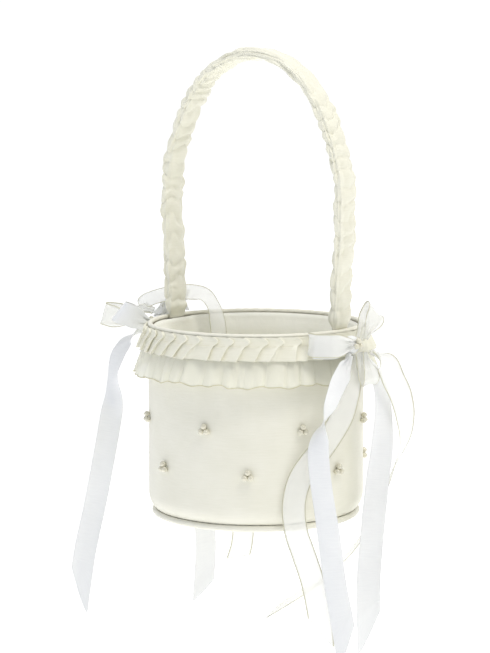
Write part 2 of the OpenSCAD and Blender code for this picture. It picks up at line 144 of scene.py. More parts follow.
def new_piece(name: str, mesh: bpy.types.Mesh) -> bpy.types.Object:
    """Puts a mesh in the scene as a piece with smooth faces.

    Args:
        name: The piece's name.
        mesh: Its mesh.

    Returns:
        The piece.
    """
    piece = bpy.data.objects.new(name, mesh)
    bpy.context.scene.collection.objects.link(piece)
    mesh.polygons.foreach_set("use_smooth", [True] * len(mesh.polygons))
    return piece


def cloth(
    name: str,
    points: np.ndarray,
    ring_along: bool = False,
    ring_across: bool = False,
    edge: np.ndarray | None = None,
) -> bpy.types.Object:
    """Makes a sheet of cloth from a grid of points, with a UV map in centimetres of cloth.

    Args:
        name: The piece's name.
        points: Grid of points, its rows along the cloth and its columns across it.
        ring_along: Whether the last row joins the first.
        ring_across: Whether the last column joins the first.
        edge: How near each column is to a woven edge, from 0 to 1.

    Returns:
        The piece.
    """
    rows, cols = points.shape[:2]
    row_next = np.arange(rows if ring_along else rows - 1)
    col_next = np.arange(cols if ring_across else cols - 1)
    a = row_next[:, None] * cols + col_next[None, :]
    b = row_next[:, None] * cols + (col_next[None, :] + 1) % cols
    c = ((row_next[:, None] + 1) % rows) * cols + (col_next[None, :] + 1) % cols
    d = ((row_next[:, None] + 1) % rows) * cols + col_next[None, :]
    quads = np.stack([a, b, c, d], axis=-1).reshape(-1, 4)
    mesh = bpy.data.meshes.new(name)
    mesh.from_pydata(points.reshape(-1, 3).tolist(), [], quads.tolist())
    across = np.linalg.norm(np.diff(points, axis=1), axis=2).mean(axis=0)
    along = np.linalg.norm(np.diff(points, axis=0), axis=2).mean(axis=1)
    u = np.append(np.concatenate([[0], np.cumsum(across)]), [np.sum(across) + across[-1]]) * 100
    v = np.append(np.concatenate([[0], np.cumsum(along)]), [np.sum(along) + along[-1]]) * 100
    iu = np.stack([col_next, col_next + 1, col_next + 1, col_next], axis=-1)
    iv = np.stack([row_next, row_next, row_next + 1, row_next + 1], axis=-1)
    uv = np.empty((len(row_next), len(col_next), 4, 2))
    uv[..., 0] = u[iu][None, :, :]
    uv[..., 1] = v[iv][:, None, :]
    mesh.uv_layers.new(name="cloth").data.foreach_set("uv", uv.ravel())
    if edge is not None:
        layer = mesh.attributes.new("woven_edge", "FLOAT", "POINT")
        layer.data.foreach_set("value", np.broadcast_to(edge, (rows, cols)).astype(float).ravel())
    return new_piece(name, mesh)


def only(piece: bpy.types.Object) -> bpy.types.Object:
    """Makes a piece the only one selected, and the active one.

    Args:
        piece: The piece.

    Returns:
        The piece.
    """
    bpy.ops.object.select_all(action="DESELECT")
    piece.select_set(True)
    bpy.context.view_layer.objects.active = piece
    return piece


def apply(piece: bpy.types.Object, kind: str, **settings: object) -> bpy.types.Object:
    """Adds a modifier to a piece and applies it.

    Args:
        piece: The piece.
        kind: The modifier's type.
        **settings: The modifier's settings.

    Returns:
        The piece.
    """
    only(piece)
    modifier = piece.modifiers.new(kind.title(), kind)
    for name, value in settings.items():
        setattr(modifier, name, value)
    bpy.ops.object.modifier_apply(modifier=modifier.name)
    return piece


def thicken(piece: bpy.types.Object, thickness: float) -> bpy.types.Object:
    """Gives a sheet its thickness, half of it on each side."""
    return apply(piece, "SOLIDIFY", thickness=thickness, offset=0.0, use_quality_normals=True)


def settle(piece: bpy.types.Object) -> bpy.types.Object:
    """Moves a piece's place into its mesh, so that its object sits at the origin.

    Args:
        piece: The piece.

    Returns:
        The piece.
    """
    only(piece)
    bpy.ops.object.transform_apply(location=True, rotation=True, scale=True)
    return piece


def shape(name: str, maker: Callable[..., object], **settings: object) -> bpy.types.Object:
    """Adds one of Blender's own shapes as a smooth piece.

    Args:
        name: The piece's name.
        maker: The operator that adds the shape.
        **settings: The operator's settings.

    Returns:
        The piece, with its place in its mesh.
    """
    bpy.ops.object.select_all(action="DESELECT")
    maker(**settings)
    piece = settle(bpy.context.active_object)
    piece.name = piece.data.name = name
    bpy.ops.object.shade_smooth()
    return piece


def close_holes(piece: bpy.types.Object) -> bpy.types.Object:
    """Fills each open end of a piece with a face, and turns all its faces outwards.

    Args:
        piece: The piece.

    Returns:
        The piece.
    """
    only(piece)
    bpy.ops.object.mode_set(mode="EDIT")
    bpy.ops.mesh.select_all(action="DESELECT")
    bpy.ops.mesh.select_mode(type="EDGE")
    bpy.ops.mesh.select_non_manifold()
    bpy.ops.mesh.edge_face_add()
    bpy.ops.mesh.select_all(action="SELECT")
    bpy.ops.mesh.normals_make_consistent(inside=False)
    bpy.ops.object.mode_set(mode="OBJECT")
    return piece


def join(name: str, pieces: Sequence[bpy.types.Object]) -> bpy.types.Object:
    """Joins several meshes into one piece.

    Args:
        name: The piece's name.
        pieces: The objects that become one.

    Returns:
        The piece.
    """
    bpy.ops.object.select_all(action="DESELECT")
    for piece in pieces:
        piece.select_set(True)
    bpy.context.view_layer.objects.active = pieces[0]
    if len(pieces) > 1:
        bpy.ops.object.join()
    pieces[0].name = name
    return pieces[0]


def lathe(name: str, profile: Sequence[tuple[float, float]], segments: int) -> bpy.types.Object:
    """Turns a profile round the Z axis: a circle is extruded and resized from ring to ring.

    Args:
        name: The piece's name.
        profile: Radius and height of each ring, in metres.
        segments: Faces round the piece.

    Returns:
        The open shell, its faces pointing outwards for a profile that runs up the outside.
    """
    radius, height = profile[0]
    piece = shape(name, bpy.ops.mesh.primitive_circle_add, vertices=segments, radius=radius,
                  location=(0, 0, height))
    bpy.ops.object.mode_set(mode="EDIT")
    bpy.ops.mesh.select_all(action="SELECT")
    for next_radius, next_height in profile[1:]:
        grow = next_radius / radius
        lift = (0, 0, next_height - height)
        bpy.ops.mesh.extrude_edges_move(TRANSFORM_OT_translate={"value": lift})
        bpy.ops.transform.resize(value=(grow, grow, 1), center_override=(0, 0, next_height))
        radius, height = next_radius, next_height
    bpy.ops.object.mode_set(mode="OBJECT")
    bpy.ops.object.shade_smooth()
    return piece


def dent(piece: bpy.types.Object, rule: Callable[[np.ndarray], np.ndarray]) -> bpy.types.Object:
    """Moves a piece's vertices by a rule.

    Args:
        piece: The piece.
        rule: Takes the points, one a row, and returns them moved.

    Returns:
        The piece.
    """
    mesh = piece.data
    points = np.empty(len(mesh.vertices) * 3)
    mesh.vertices.foreach_get("co", points)
    mesh.vertices.foreach_set("co", rule(points.reshape(-1, 3)).ravel())
    mesh.update()
    return piece


def unwrap_round(piece: bpy.types.Object, radius: float) -> bpy.types.Object:
    """Gives a turned piece a UV map in centimetres: round the basket, and up or outwards.

    Args:
        piece: The piece.
        radius: Radius at which the map is true to size, in metres.

    Returns:
        The piece.
    """
    mesh = piece.data
    layer = mesh.uv_layers.new(name="cloth") if not mesh.uv_layers else mesh.uv_layers[0]
    layer.name = "cloth"
    corners = np.array([mesh.vertices[loop.vertex_index].co for loop in mesh.loops])
    turn, out, height = polar(corners)
    sides = [face.loop_total for face in mesh.polygons]
    starts = np.repeat([turn[face.loop_start] for face in mesh.polygons], sides)
    turn += TAU * np.round((starts - turn) / TAU)
    uv = np.stack([turn * radius * 100, (height - out) * 100], axis=-1)
    layer.data.foreach_set("uv", uv.ravel())
    return piece


# ---------------------------------------------------------------- finishes


def linear(code: str) -> tuple[float, float, float, float]:
    """Turns an sRGB hex colour into the linear colour that a shader takes.

    Args:
        code: The colour, such as FFFFFF.

    Returns:
        Red, green, blue and full cover.
    """
    parts = [int(code[i:i + 2], 16) / 255 for i in (0, 2, 4)]
    flat = [c / 12.92 if c <= 0.04045 else ((c + 0.055) / 1.055) ** 2.4 for c in parts]
    return (flat[0], flat[1], flat[2], 1.0)


def plug(node: bpy.types.Node, inputs: dict) -> None:
    """Sets or links a node's inputs.

    Args:
        node: The node.
        inputs: Value or incoming socket of each input, by its name or number.
    """
    for name, value in inputs.items():
        if isinstance(value, bpy.types.NodeSocket):
            node.id_data.links.new(value, node.inputs[name])
        else:
            node.inputs[name].default_value = value


def add(
    tree: bpy.types.NodeTree, kind: str, inputs: dict | None = None, **settings: object
) -> bpy.types.Node:
    """Adds a node with its settings, values and links.

    Args:
        tree: The material's nodes.
        kind: The node's type.
        inputs: Value or incoming socket of each input, by its name or number.
        **settings: The node's own settings.

    Returns:
        The node.
    """
    made = tree.nodes.new(kind)
    for name, value in settings.items():
        setattr(made, name, value)
    plug(made, inputs or {})
    return made


def blank(name: str) -> tuple[bpy.types.Material, bpy.types.NodeTree, bpy.types.Node]:
    """Starts a material.

    Args:
        name: The material's name.

    Returns:
        The material, its nodes and its shader.
    """
    material = bpy.data.materials.new(name)
    material.use_nodes = True
    tree = material.node_tree
    tree.nodes.clear()
    shader = add(tree, "ShaderNodeBsdfPrincipled")
    add(tree, "ShaderNodeOutputMaterial", {"Surface": shader.outputs["BSDF"]})
    return material, tree, shader


class Coordinates(Enum):
    """Where a cloth's pattern takes its place from."""

    CLOTH = "the piece's own UV map, in centimetres of cloth"
    OBJECT = "the object's own space, in metres"


@dataclass(frozen=True)
class DuchessSatin:
    """Polyester duchess satin, woven with long floats: a broad soft sheen over a calm, even face."""

    name: str
    colour: str
    shade: str
    roughness: float = 0.36
    crinkle: float = 0.25
    where: Coordinates = Coordinates.CLOTH

    def material(self) -> bpy.types.Material:
        """Returns the satin as a material."""
        material, tree, shader = blank(self.name)
        if self.where is Coordinates.CLOTH:
            place = add(tree, "ShaderNodeUVMap", uv_map="cloth").outputs["UV"]
            per_cm = 1.0
        else:
            place = add(tree, "ShaderNodeTexCoord").outputs["Object"]
            per_cm = 100.0
        scaled = add(tree, "ShaderNodeVectorMath", {0: place, "Scale": per_cm}, operation="SCALE")
        cm = scaled.outputs["Vector"]
        # Slubs are thick threads about 12 mm long and 0.7 mm wide, along the weft.
        slub_map = add(tree, "ShaderNodeMapping", {"Vector": cm, "Scale": (0.8, 14.0, 14.0)})
        slub = add(tree, "ShaderNodeTexNoise", {"Vector": slub_map.outputs["Vector"], "Scale": 1.0,
                                                "Detail": 3.0, "Roughness": 0.6})
        # Clouds 25 mm across, where the dye and the light lie a little unevenly.
        cloud = add(tree, "ShaderNodeTexNoise", {"Vector": cm, "Scale": 0.4, "Detail": 2.0})
        both = add(tree, "ShaderNodeMath", {0: slub.outputs["Fac"], 1: cloud.outputs["Fac"]},
                   operation="ADD")
        half = add(tree, "ShaderNodeMapRange", {"Value": both.outputs[0], "From Min": 0.7,
                                                "From Max": 1.3, "To Min": 0.0, "To Max": 1.0})
        tint = add(tree, "ShaderNodeMix", {"Factor": half.outputs["Result"], "A": linear(self.colour),
                                           "B": linear(self.shade)}, data_type="RGBA")
        # Real warp threads are too fine to show, so the ribs are drawn 1 mm apart.
        weave = add(tree, "ShaderNodeTexWave", {"Vector": cm, "Scale": 3.2, "Distortion": 0.6,
                                                "Detail": 1.0, "Detail Scale": 3.0})
        fine = add(tree, "ShaderNodeBump", {"Height": weave.outputs["Fac"], "Strength": 0.05,
                                            "Distance": 0.0001})
        # Soft crinkles 6 mm across, as satin keeps from being handled.
        soft = add(tree, "ShaderNodeTexNoise", {"Vector": cm, "Scale": 1.7, "Detail": 2.0,
                                                "Distortion": 0.8})
        crease = add(tree, "ShaderNodeBump", {"Height": soft.outputs["Fac"], "Strength": self.crinkle,
                                              "Distance": 0.0016, "Normal": fine.outputs["Normal"]})
        plug(shader, {"Base Color": tint.outputs["Result"], "Normal": crease.outputs["Normal"],
                      "Roughness": self.roughness, "IOR": 1.5, "Sheen Weight": 0.18,
                      "Sheen Roughness": 0.35, "Anisotropic": 0.45})
        return material


@dataclass(frozen=True)
class SheerOrganza:
    """Crisp polyester organza: a clear open weave with a dense woven edge that reads darker."""

    name: str
    colour: str = "FAFAF5"
    edge_colour: str = "CFCDB4"
    cover: float = 0.46
    has_edge: bool = True

    def material(self) -> bpy.types.Material:
        """Returns the organza as a material."""
        material, tree, shader = blank(self.name)
        place = add(tree, "ShaderNodeUVMap", uv_map="cloth").outputs["UV"]
        # The threads are 0.15 mm apart; they are drawn as faint ribs 0.6 mm apart along the ribbon.
        ribs = add(tree, "ShaderNodeTexWave", {"Vector": place, "Scale": 5.0, "Distortion": 0.35,
                                               "Detail": 2.0, "Detail Scale": 1.5})
        mist = add(tree, "ShaderNodeTexNoise", {"Vector": place, "Scale": 0.9, "Detail": 3.0})
        veil = add(tree, "ShaderNodeMath", {0: ribs.outputs["Fac"], 1: mist.outputs["Fac"]},
                   operation="ADD")
        body = add(tree, "ShaderNodeMapRange", {"Value": veil.outputs[0], "From Min": 0.3,
                                                "From Max": 1.7, "To Min": self.cover - 0.04,
                                                "To Max": self.cover + 0.05})
        alpha, colour = body.outputs["Result"], linear(self.colour)
        if self.has_edge:
            near = add(tree, "ShaderNodeAttribute", attribute_name="woven_edge")
            rim = add(tree, "ShaderNodeMapRange", {"Value": near.outputs["Fac"], "From Min": 0.86,
                                                   "From Max": 0.95, "To Min": 0.0, "To Max": 1.0})
            tint = add(tree, "ShaderNodeMix", {"Factor": rim.outputs["Result"], "A": colour,
                                               "B": linear(self.edge_colour)}, data_type="RGBA")
            colour = tint.outputs["Result"]
            dense = add(tree, "ShaderNodeMix", {"Factor": rim.outputs["Result"], "A": alpha, "B": 0.9})
            alpha = dense.outputs["Result"]
        bump = add(tree, "ShaderNodeBump", {"Height": ribs.outputs["Fac"], "Strength": 0.04,
                                            "Distance": 0.0001})
        plug(shader, {"Base Color": colour, "Alpha": alpha, "Normal": bump.outputs["Normal"],
                      "Roughness": 0.42, "IOR": 1.5, "Sheen Weight": 0.3, "Sheen Roughness": 0.3})
        return material


@dataclass(frozen=True)
class PearlLacquer:
    """Imitation pearl, an ABS bead dipped in pearl lacquer: a soft body under a hard clear gloss."""

    name: str = "pearl lacquer"
    colour: str = "DDD9C4"
    # Lighter colour, painted as sheen toward each bead's grazing rim.
    painted_rim_sheen: str = "F0EDE0"

    def material(self) -> bpy.types.Material:
        """Returns the pearl as a material."""
        material, tree, shader = blank(self.name)
        place = add(tree, "ShaderNodeTexCoord").outputs["Object"]
        # Faint clouds about 1 mm across, where lacquer gathers, times the facing term: the lighter colour
        # is painted sheen toward each bead's grazing rim.
        cloud = add(tree, "ShaderNodeTexNoise", {"Vector": place, "Scale": 900.0, "Detail": 2.0})
        facing = add(tree, "ShaderNodeLayerWeight", {"Blend": 0.35})
        rim_sheen_share = add(tree, "ShaderNodeMath", {0: cloud.outputs["Fac"], 1: facing.outputs["Facing"]},
                    operation="MULTIPLY")
        # Mixes in the painted rim sheen, broken into clouds.
        tint = add(tree, "ShaderNodeMix", {"Factor": rim_sheen_share.outputs[0], "A": linear(self.colour),
                                           "B": linear(self.painted_rim_sheen)}, data_type="RGBA")
        plug(shader, {"Base Color": tint.outputs["Result"], "Roughness": 0.25, "IOR": 1.53,
                      "Coat Weight": 1.0, "Coat Roughness": 0.05})
        return material


@dataclass(frozen=True)
class Fibre:
    """A dull fibrous or moulded stuff, with flecks and a fine grain."""

    name: str
    colour: str
    fleck: str
    grain_mm: float
    roughness: float = 0.85
    depth: float = 0.3
    metallic: float = 0.0
    sheen: float = 0.0

    def material(self) -> bpy.types.Material:
        """Returns the stuff as a material."""
        material, tree, shader = blank(self.name)
        place = add(tree, "ShaderNodeTexCoord").outputs["Object"]
        grain = add(tree, "ShaderNodeTexNoise", {"Vector": place, "Scale": 1000.0 / self.grain_mm,
                                                 "Detail": 4.0, "Roughness": 0.65})
        bump = add(tree, "ShaderNodeBump", {"Height": grain.outputs["Fac"], "Strength": self.depth,
                                            "Distance": 0.0003})
        tint = add(tree, "ShaderNodeMix", {"Factor": grain.outputs["Fac"], "A": linear(self.colour),
                                           "B": linear(self.fleck)}, data_type="RGBA")
        plug(shader, {"Base Color": tint.outputs["Result"], "Normal": bump.outputs["Normal"],
                      "Roughness": self.roughness, "Metallic": self.metallic,
                      "Sheen Weight": self.sheen})
        return material


@dataclass(frozen=True)
class Finishes:
    """Every material of the basket, made once."""

    wall: bpy.types.Material
    gathered: bpy.types.Material
    ribbon: bpy.types.Material
    lining: bpy.types.Material
    organza: bpy.types.Material
    skirt: bpy.types.Material
    hem: bpy.types.Material
    pearl: bpy.types.Material
    thread: bpy.types.Material
    board: bpy.types.Material
    wadding: bpy.types.Material
    strip: bpy.types.Material
    steel: bpy.types.Material

    @classmethod
    def make(cls) -> "Finishes":
        """Returns the basket's materials."""
        return cls(
            wall=DuchessSatin("ivory duchess satin", "EEECDE", "E8E6D6", 0.45, 0.1).material(),
            gathered=DuchessSatin("gathered ivory satin", "EEECDC", "E6E4D1", 0.38, 0.14).material(),
            ribbon=DuchessSatin("satin ribbon", "F1F2F1", "EAEBEB", 0.3, 0.1).material(),
            # The lining satin is painted lighter than the wall satin: painted light that offsets the shade
            # inside the tub.
            lining=DuchessSatin("ivory lining satin", "FAF9EF", "F5F4E8", 0.45, 0.25).material(),
            organza=SheerOrganza("ribbon organza").material(),
            skirt=SheerOrganza("ivory organza", "F8F7E8", cover=0.6, has_edge=False).material(),
            hem=Fibre("rolled organza hem", "CFCBAE", "BDB897", 0.8, 0.6, 0.2).material(),
            pearl=PearlLacquer().material(),
            thread=Fibre("spun polyester thread", "E9E4D2", "D8D2BC", 0.4, 0.7, 0.5, sheen=0.2).material(),
            board=Fibre("greyboard", "A99F8C", "8E8472", 1.2, 0.92, 0.35).material(),
            wadding=Fibre("polyester wadding", "F4F3EE", "E2E0D8", 2.5, 0.95, 0.8, sheen=0.5).material(),
            strip=Fibre("extruded polyethylene strip", "E2E0D6", "D8D5C8", 3.0, 0.5, 0.1).material(),
            steel=Fibre("nickel plated steel", "C9C8C4", "B9B7B1", 0.6, 0.3, 0.08, 1.0).material(),
        )


def dress(piece: bpy.types.Object, material: bpy.types.Material) -> bpy.types.Object:
    """Gives a piece one material all over.

    Args:
        piece: The piece.
        material: The material.

    Returns:
        The piece.
    """
    piece.data.materials.clear()
    piece.data.materials.append(material)
    return piece


def hand_over(
    piece: bpy.types.Object, body: str, replaced: Iterable[str] = ()
) -> None:
    """Tells the frame where a finished piece belongs.

    Args:
        piece: The piece.
        body: The CAD body that it rides on.
        replaced: CAD nodes that the piece stands for.
    """
    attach(piece, body)
    if replaced:
        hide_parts(*replaced)
    LOG.info("%s: %d faces, on %s", piece.name, len(piece.data.polygons), body)


# ------------------------------------------------------------------- the tub


@dataclass
class Tub:
    """The covered tub: satin, wadding, underside, piping, rim roll, lining and padded floor."""

    datum: Datum
    finishes: Finishes
    toe_r: float = 16 * MM
    cloth_t: float = 0.5 * MM
    wadding_t: float = 0.6 * MM
    lining_t: float = 0.4 * MM
    segments: int = 240
    foot_gap: float = 11 * MM
    lean_drop: float = 15.6 * MM

    def build(self) -> None:
        """Builds every piece of the tub."""
        self.cover()
        self.underside()
        self.piping()
        self.rim_roll()
        self.wadding()
        self.lining()
        self.floor_cushion()
        self.floor()

    def wall_rings(
        self, outer: float, low: float, high: float, toe_rings: int, straight_rings: int
    ) -> list[tuple[float, float]]:
        """Draws a layer of the wall: turned in round the toe's centre, then straight up.

        Args:
            outer: Radius of the layer, in metres.
            low: Height where it starts under the toe, in metres.
            high: Height where it ends, in metres.
            toe_rings: Rings round the toe.
            straight_rings: Rings up the straight, counting the toe's last one.

        Returns:
            Radius and height of each ring.
        """
        middle = self.datum.under + self.toe_r
        toe_x = self.datum.cover_r - self.toe_r
        turned = outer - toe_x
        first = math.asin(min(1.0, (middle - low) / turned))
        rings = [(toe_x + turned * math.cos(turn), middle - turned * math.sin(turn))
                 for turn in np.linspace(first, 0, toe_rings)]
        return rings + [(outer, z) for z in np.linspace(middle, high, straight_rings)[1:]]

    def wadding(self) -> None:
        """Makes the wadding between the board and the cover, matted and uneven."""
        low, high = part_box("wall_wadding")
        outer = high[0] - 0.25 * MM
        rings = self.wall_rings(outer, low[2] + 0.3 * MM, high[2] - 0.3 * MM, 12, 32)
        piece = lathe("wall_wadding_felt", rings, 160)

        def mat(points: np.ndarray) -> np.ndarray:
            """Mats the felt into lumps.

            Args:
                points: The piece's points, one a row.

            Returns:
                The points, moved.
            """
            turn, _, height = polar(points)
            return spread(points, 0.1 * MM * ripple(turn * 14, height / (7 * MM), 21.0))

        dent(piece, mat)
        apply(piece, "SOLIDIFY", thickness=self.wadding_t, offset=-1.0)
        dress(piece, self.finishes.wadding)
        hand_over(piece, "basket", ["wall_wadding"])

    def floor_cushion(self) -> None:
        """Makes the wadding disc under the floor's lining, dimpled where it is stitched down."""
        low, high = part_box("floor_pad")
        radius = high[0] - 0.3 * MM
        under = ((0.02, 0.1), (0.5, 0.1), (0.97, 0.1), (0.995, 0.9), (1.0, 1.8))
        over = ((0.99, 0.9), (0.965, 0.35), (0.9, 0.2), (0.7, 0.15), (0.5, 0.15), (0.3, 0.2),
                (0.15, 0.5), (0.07, 1.1), (0.02, 1.4))
        rings = [(radius * share, low[2] + rise * MM) for share, rise in under]
        rings += [(radius * share, high[2] - drop * MM) for share, drop in over]
        piece = close_holes(lathe("floor_cushion_felt", rings, 96))
        dress(piece, self.finishes.wadding)
        hand_over(piece, "basket", ["floor_pad"])

    def cover(self) -> None:
        """Makes the satin over the wall, eased in round its foot and a little uneven above it."""
        outer = self.datum.cover_r
        low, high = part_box("outer_cover")
        rings = self.wall_rings(outer, low[2], high[2], 14, 42)
        piece = lathe("outer_cover_satin", rings, self.segments)
        dent(piece, self.pulled)
        unwrap_round(piece, outer)
        apply(piece, "SOLIDIFY", thickness=self.cloth_t, offset=-1.0)
        dress(piece, self.finishes.wall)
        hand_over(piece, "basket", ["outer_cover"])

    def pulled(self, points: np.ndarray) -> np.ndarray:
        """Puckers the cover where it is eased round its foot, and lets it drift elsewhere.

        Args:
            points: The cover's points, one a row.

        Returns:
            The points, moved in or out.
        """
        turn, _, level = polar(points)
        height = (level - self.datum.under) / MM
        low = 1 - smooth(4, 24, height)
        pucker = np.abs(np.sin(31 * turn + 1.7 * np.sin(5 * turn))) ** 0.7 - 0.6
        drift = ripple(7 * np.cos(turn) + 9 * np.sin(turn), height / 26, 3.1)
        slant = ripple(turn * 5 + height / 30, height / 60, 8.4)
        move = (0.22 * low * pucker + 0.16 * drift * (1 - low) + 0.12 * slant) * MM - 0.12 * MM
        return spread(points, move)

    def underside(self) -> None:
        """Makes the satin under the base, drawn tight over its board."""
        low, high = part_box("base_cover")
        radius = high[0] - 0.05 * MM
        rings = [(radius * share, low[2] + rise * MM) for share, rise in
                 ((0.02, 0.0), (0.3, 0.0), (0.6, 0.0), (0.85, 0.0), (0.97, 0.0), (0.992, 0.06),
                  (1.0, 0.2), (1.0, 0.35), (0.99, 0.47), (0.9, 0.5), (0.4, 0.5), (0.02, 0.5))]
        piece = close_holes(lathe("base_cover_satin", rings, 120))
        unwrap_round(piece, radius)
        dress(piece, self.finishes.wall)
        hand_over(piece, "basket", ["base_cover"])

    def corded_ring(
        self, name: str, node: str, folds: int, depth: float, around: int
    ) -> bpy.types.Object:
        """Makes a cord ring covered in satin that is gathered a little round it.

        Args:
            name: The piece's name.
            node: The CAD ring that it stands for.
            folds: Gathers round the ring.
            depth: Depth of a gather, in metres.
            around: Faces round the ring.

        Returns:
            The piece.
        """
        low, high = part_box(node)
        minor = (high[2] - low[2]) / 2
        major = high[0] - minor
        middle = (high[2] + low[2]) / 2
        piece = shape(name, bpy.ops.mesh.primitive_torus_add, major_radius=major,
                      minor_radius=minor - depth / 2, major_segments=around, minor_segments=20,
                      location=(0, 0, middle))

        def gather(points: np.ndarray) -> np.ndarray:
            """Gathers the satin round its cord.

            Args:
                points: The piece's points, one a row.

            Returns:
                The points, moved.
            """
            turn, far, height = polar(points)
            reach, lift = far - major, height - middle
            round_it = np.arctan2(lift, reach)
            phase = folds * turn / 2 + 0.9 * round_it + 1.3 * np.sin(9 * turn)
            swell = 1 + (np.abs(np.sin(phase)) ** 0.6 - 0.7) * depth / minor
            return round_points(turn, major + reach * swell, middle + lift * swell)

        dent(piece, gather)
        unwrap_round(piece, major)
        return dress(piece, self.finishes.wall)

    def piping(self) -> None:
        """Makes the piping round the underside."""
        piece = self.corded_ring("base_piping_cord", "base_piping", 150, 0.22 * MM, 600)
        hand_over(piece, "basket", ["base_piping"])

    def rim_roll(self) -> None:
        """Makes the roll of satin over the rim."""
        piece = self.corded_ring("rim_roll_satin", "rim_roll", 190, 0.3 * MM, 720)
        hand_over(piece, "basket", ["rim_roll"])

    def lining(self) -> None:
        """Makes the lining bag, which leans out to the rim except over the handle's feet."""
        low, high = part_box("lining_wall")
        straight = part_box("floor_lining")[1][0] + 0.3 * MM
        rings = [(straight, z) for z in np.linspace(low[2], high[2] - 0.2 * MM, 40)]
        piece = lathe("lining_satin", rings, self.segments)
        lean_low = self.datum.rim - self.lean_drop
        lean_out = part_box("rim_roll")[1][0] - 3.7 * MM - straight - 0.6 * MM

        def hang(points: np.ndarray) -> np.ndarray:
            """Leans the bag out to the rim and lets it fold.

            Args:
                points: The piece's points, one a row.

            Returns:
                The points, moved.
            """
            turn, _, level = polar(points)
            height = (level - low[2]) / MM
            beside = np.abs(np.sin(turn)) * straight
            open_out = smooth(self.foot_gap * 0.75, self.foot_gap * 1.6, beside)
            lean = smooth(lean_low, high[2], level) * lean_out * open_out
            folds = ripple(turn * 7, height / 45, 5.5) + 0.5 * ripple(turn * 19, height / 30, 2.2)
            calm = 0.35 + 0.65 * smooth(0, 30, height)
            radius = straight + lean + 0.2 * MM * folds * calm * open_out - 0.25 * MM * open_out
            return round_points(turn, radius, level)

        dent(piece, hang)
        unwrap_round(piece, straight)
        apply(piece, "SOLIDIFY", thickness=self.lining_t, offset=0.0)
        # The lining satin is painted lighter, as painted light against the shade inside the tub.
        dress(piece, self.finishes.lining)
        hand_over(piece, "basket", ["lining_wall"])

    def floor(self) -> None:
        """Makes the padded floor: a crowned disc with a stitched dimple at its middle."""
        low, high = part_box("floor_lining")
        radius = high[0] - 0.1 * MM
        shares = [1.0, 0.995, 0.97, 0.93, 0.85, 0.75, 0.62, 0.5, 0.38, 0.26, 0.16, 0.08, 0.03, 0.01]

        def crown(share: float) -> float:
            """Gives the floor's height at a share of its radius."""
            dimple = 1.7 * MM * math.exp(-(share / 0.09) ** 2)
            return high[2] - 0.4 * MM + 1.6 * MM * (1 - share ** 6) - dimple

        rings = [(radius, low[2] - 1.2 * MM)]
        rings += [(radius * share, crown(share)) for share in shares]
        piece = lathe("floor_lining_satin", rings, 120)
        apply(piece, "SOLIDIFY", thickness=self.lining_t, offset=0.0)
        close_holes(piece)

        def quilt(points: np.ndarray) -> np.ndarray:
            """Draws soft rays from the stitched dimple.

            Args:
                points: The piece's points, one a row.

            Returns:
                The points, moved.
            """
            turn, far, _ = polar(points)
            out = far / radius
            rays = ripple(np.cos(turn) * 5, np.sin(turn) * 5, 1.4) * smooth(0.05, 0.5, out)
            moved = points.copy()
            moved[:, 2] += 0.35 * MM * rays * (1 - smooth(0.9, 1.0, out))
            return moved

        dent(piece, quilt)
        unwrap_round(piece, radius)
        # The lining satin is painted lighter, as painted light against the shade inside the tub.
        dress(piece, self.finishes.lining)
        hand_over(piece, "basket", ["floor_lining"])


# ---------------------------------------------------------------- the ruffle


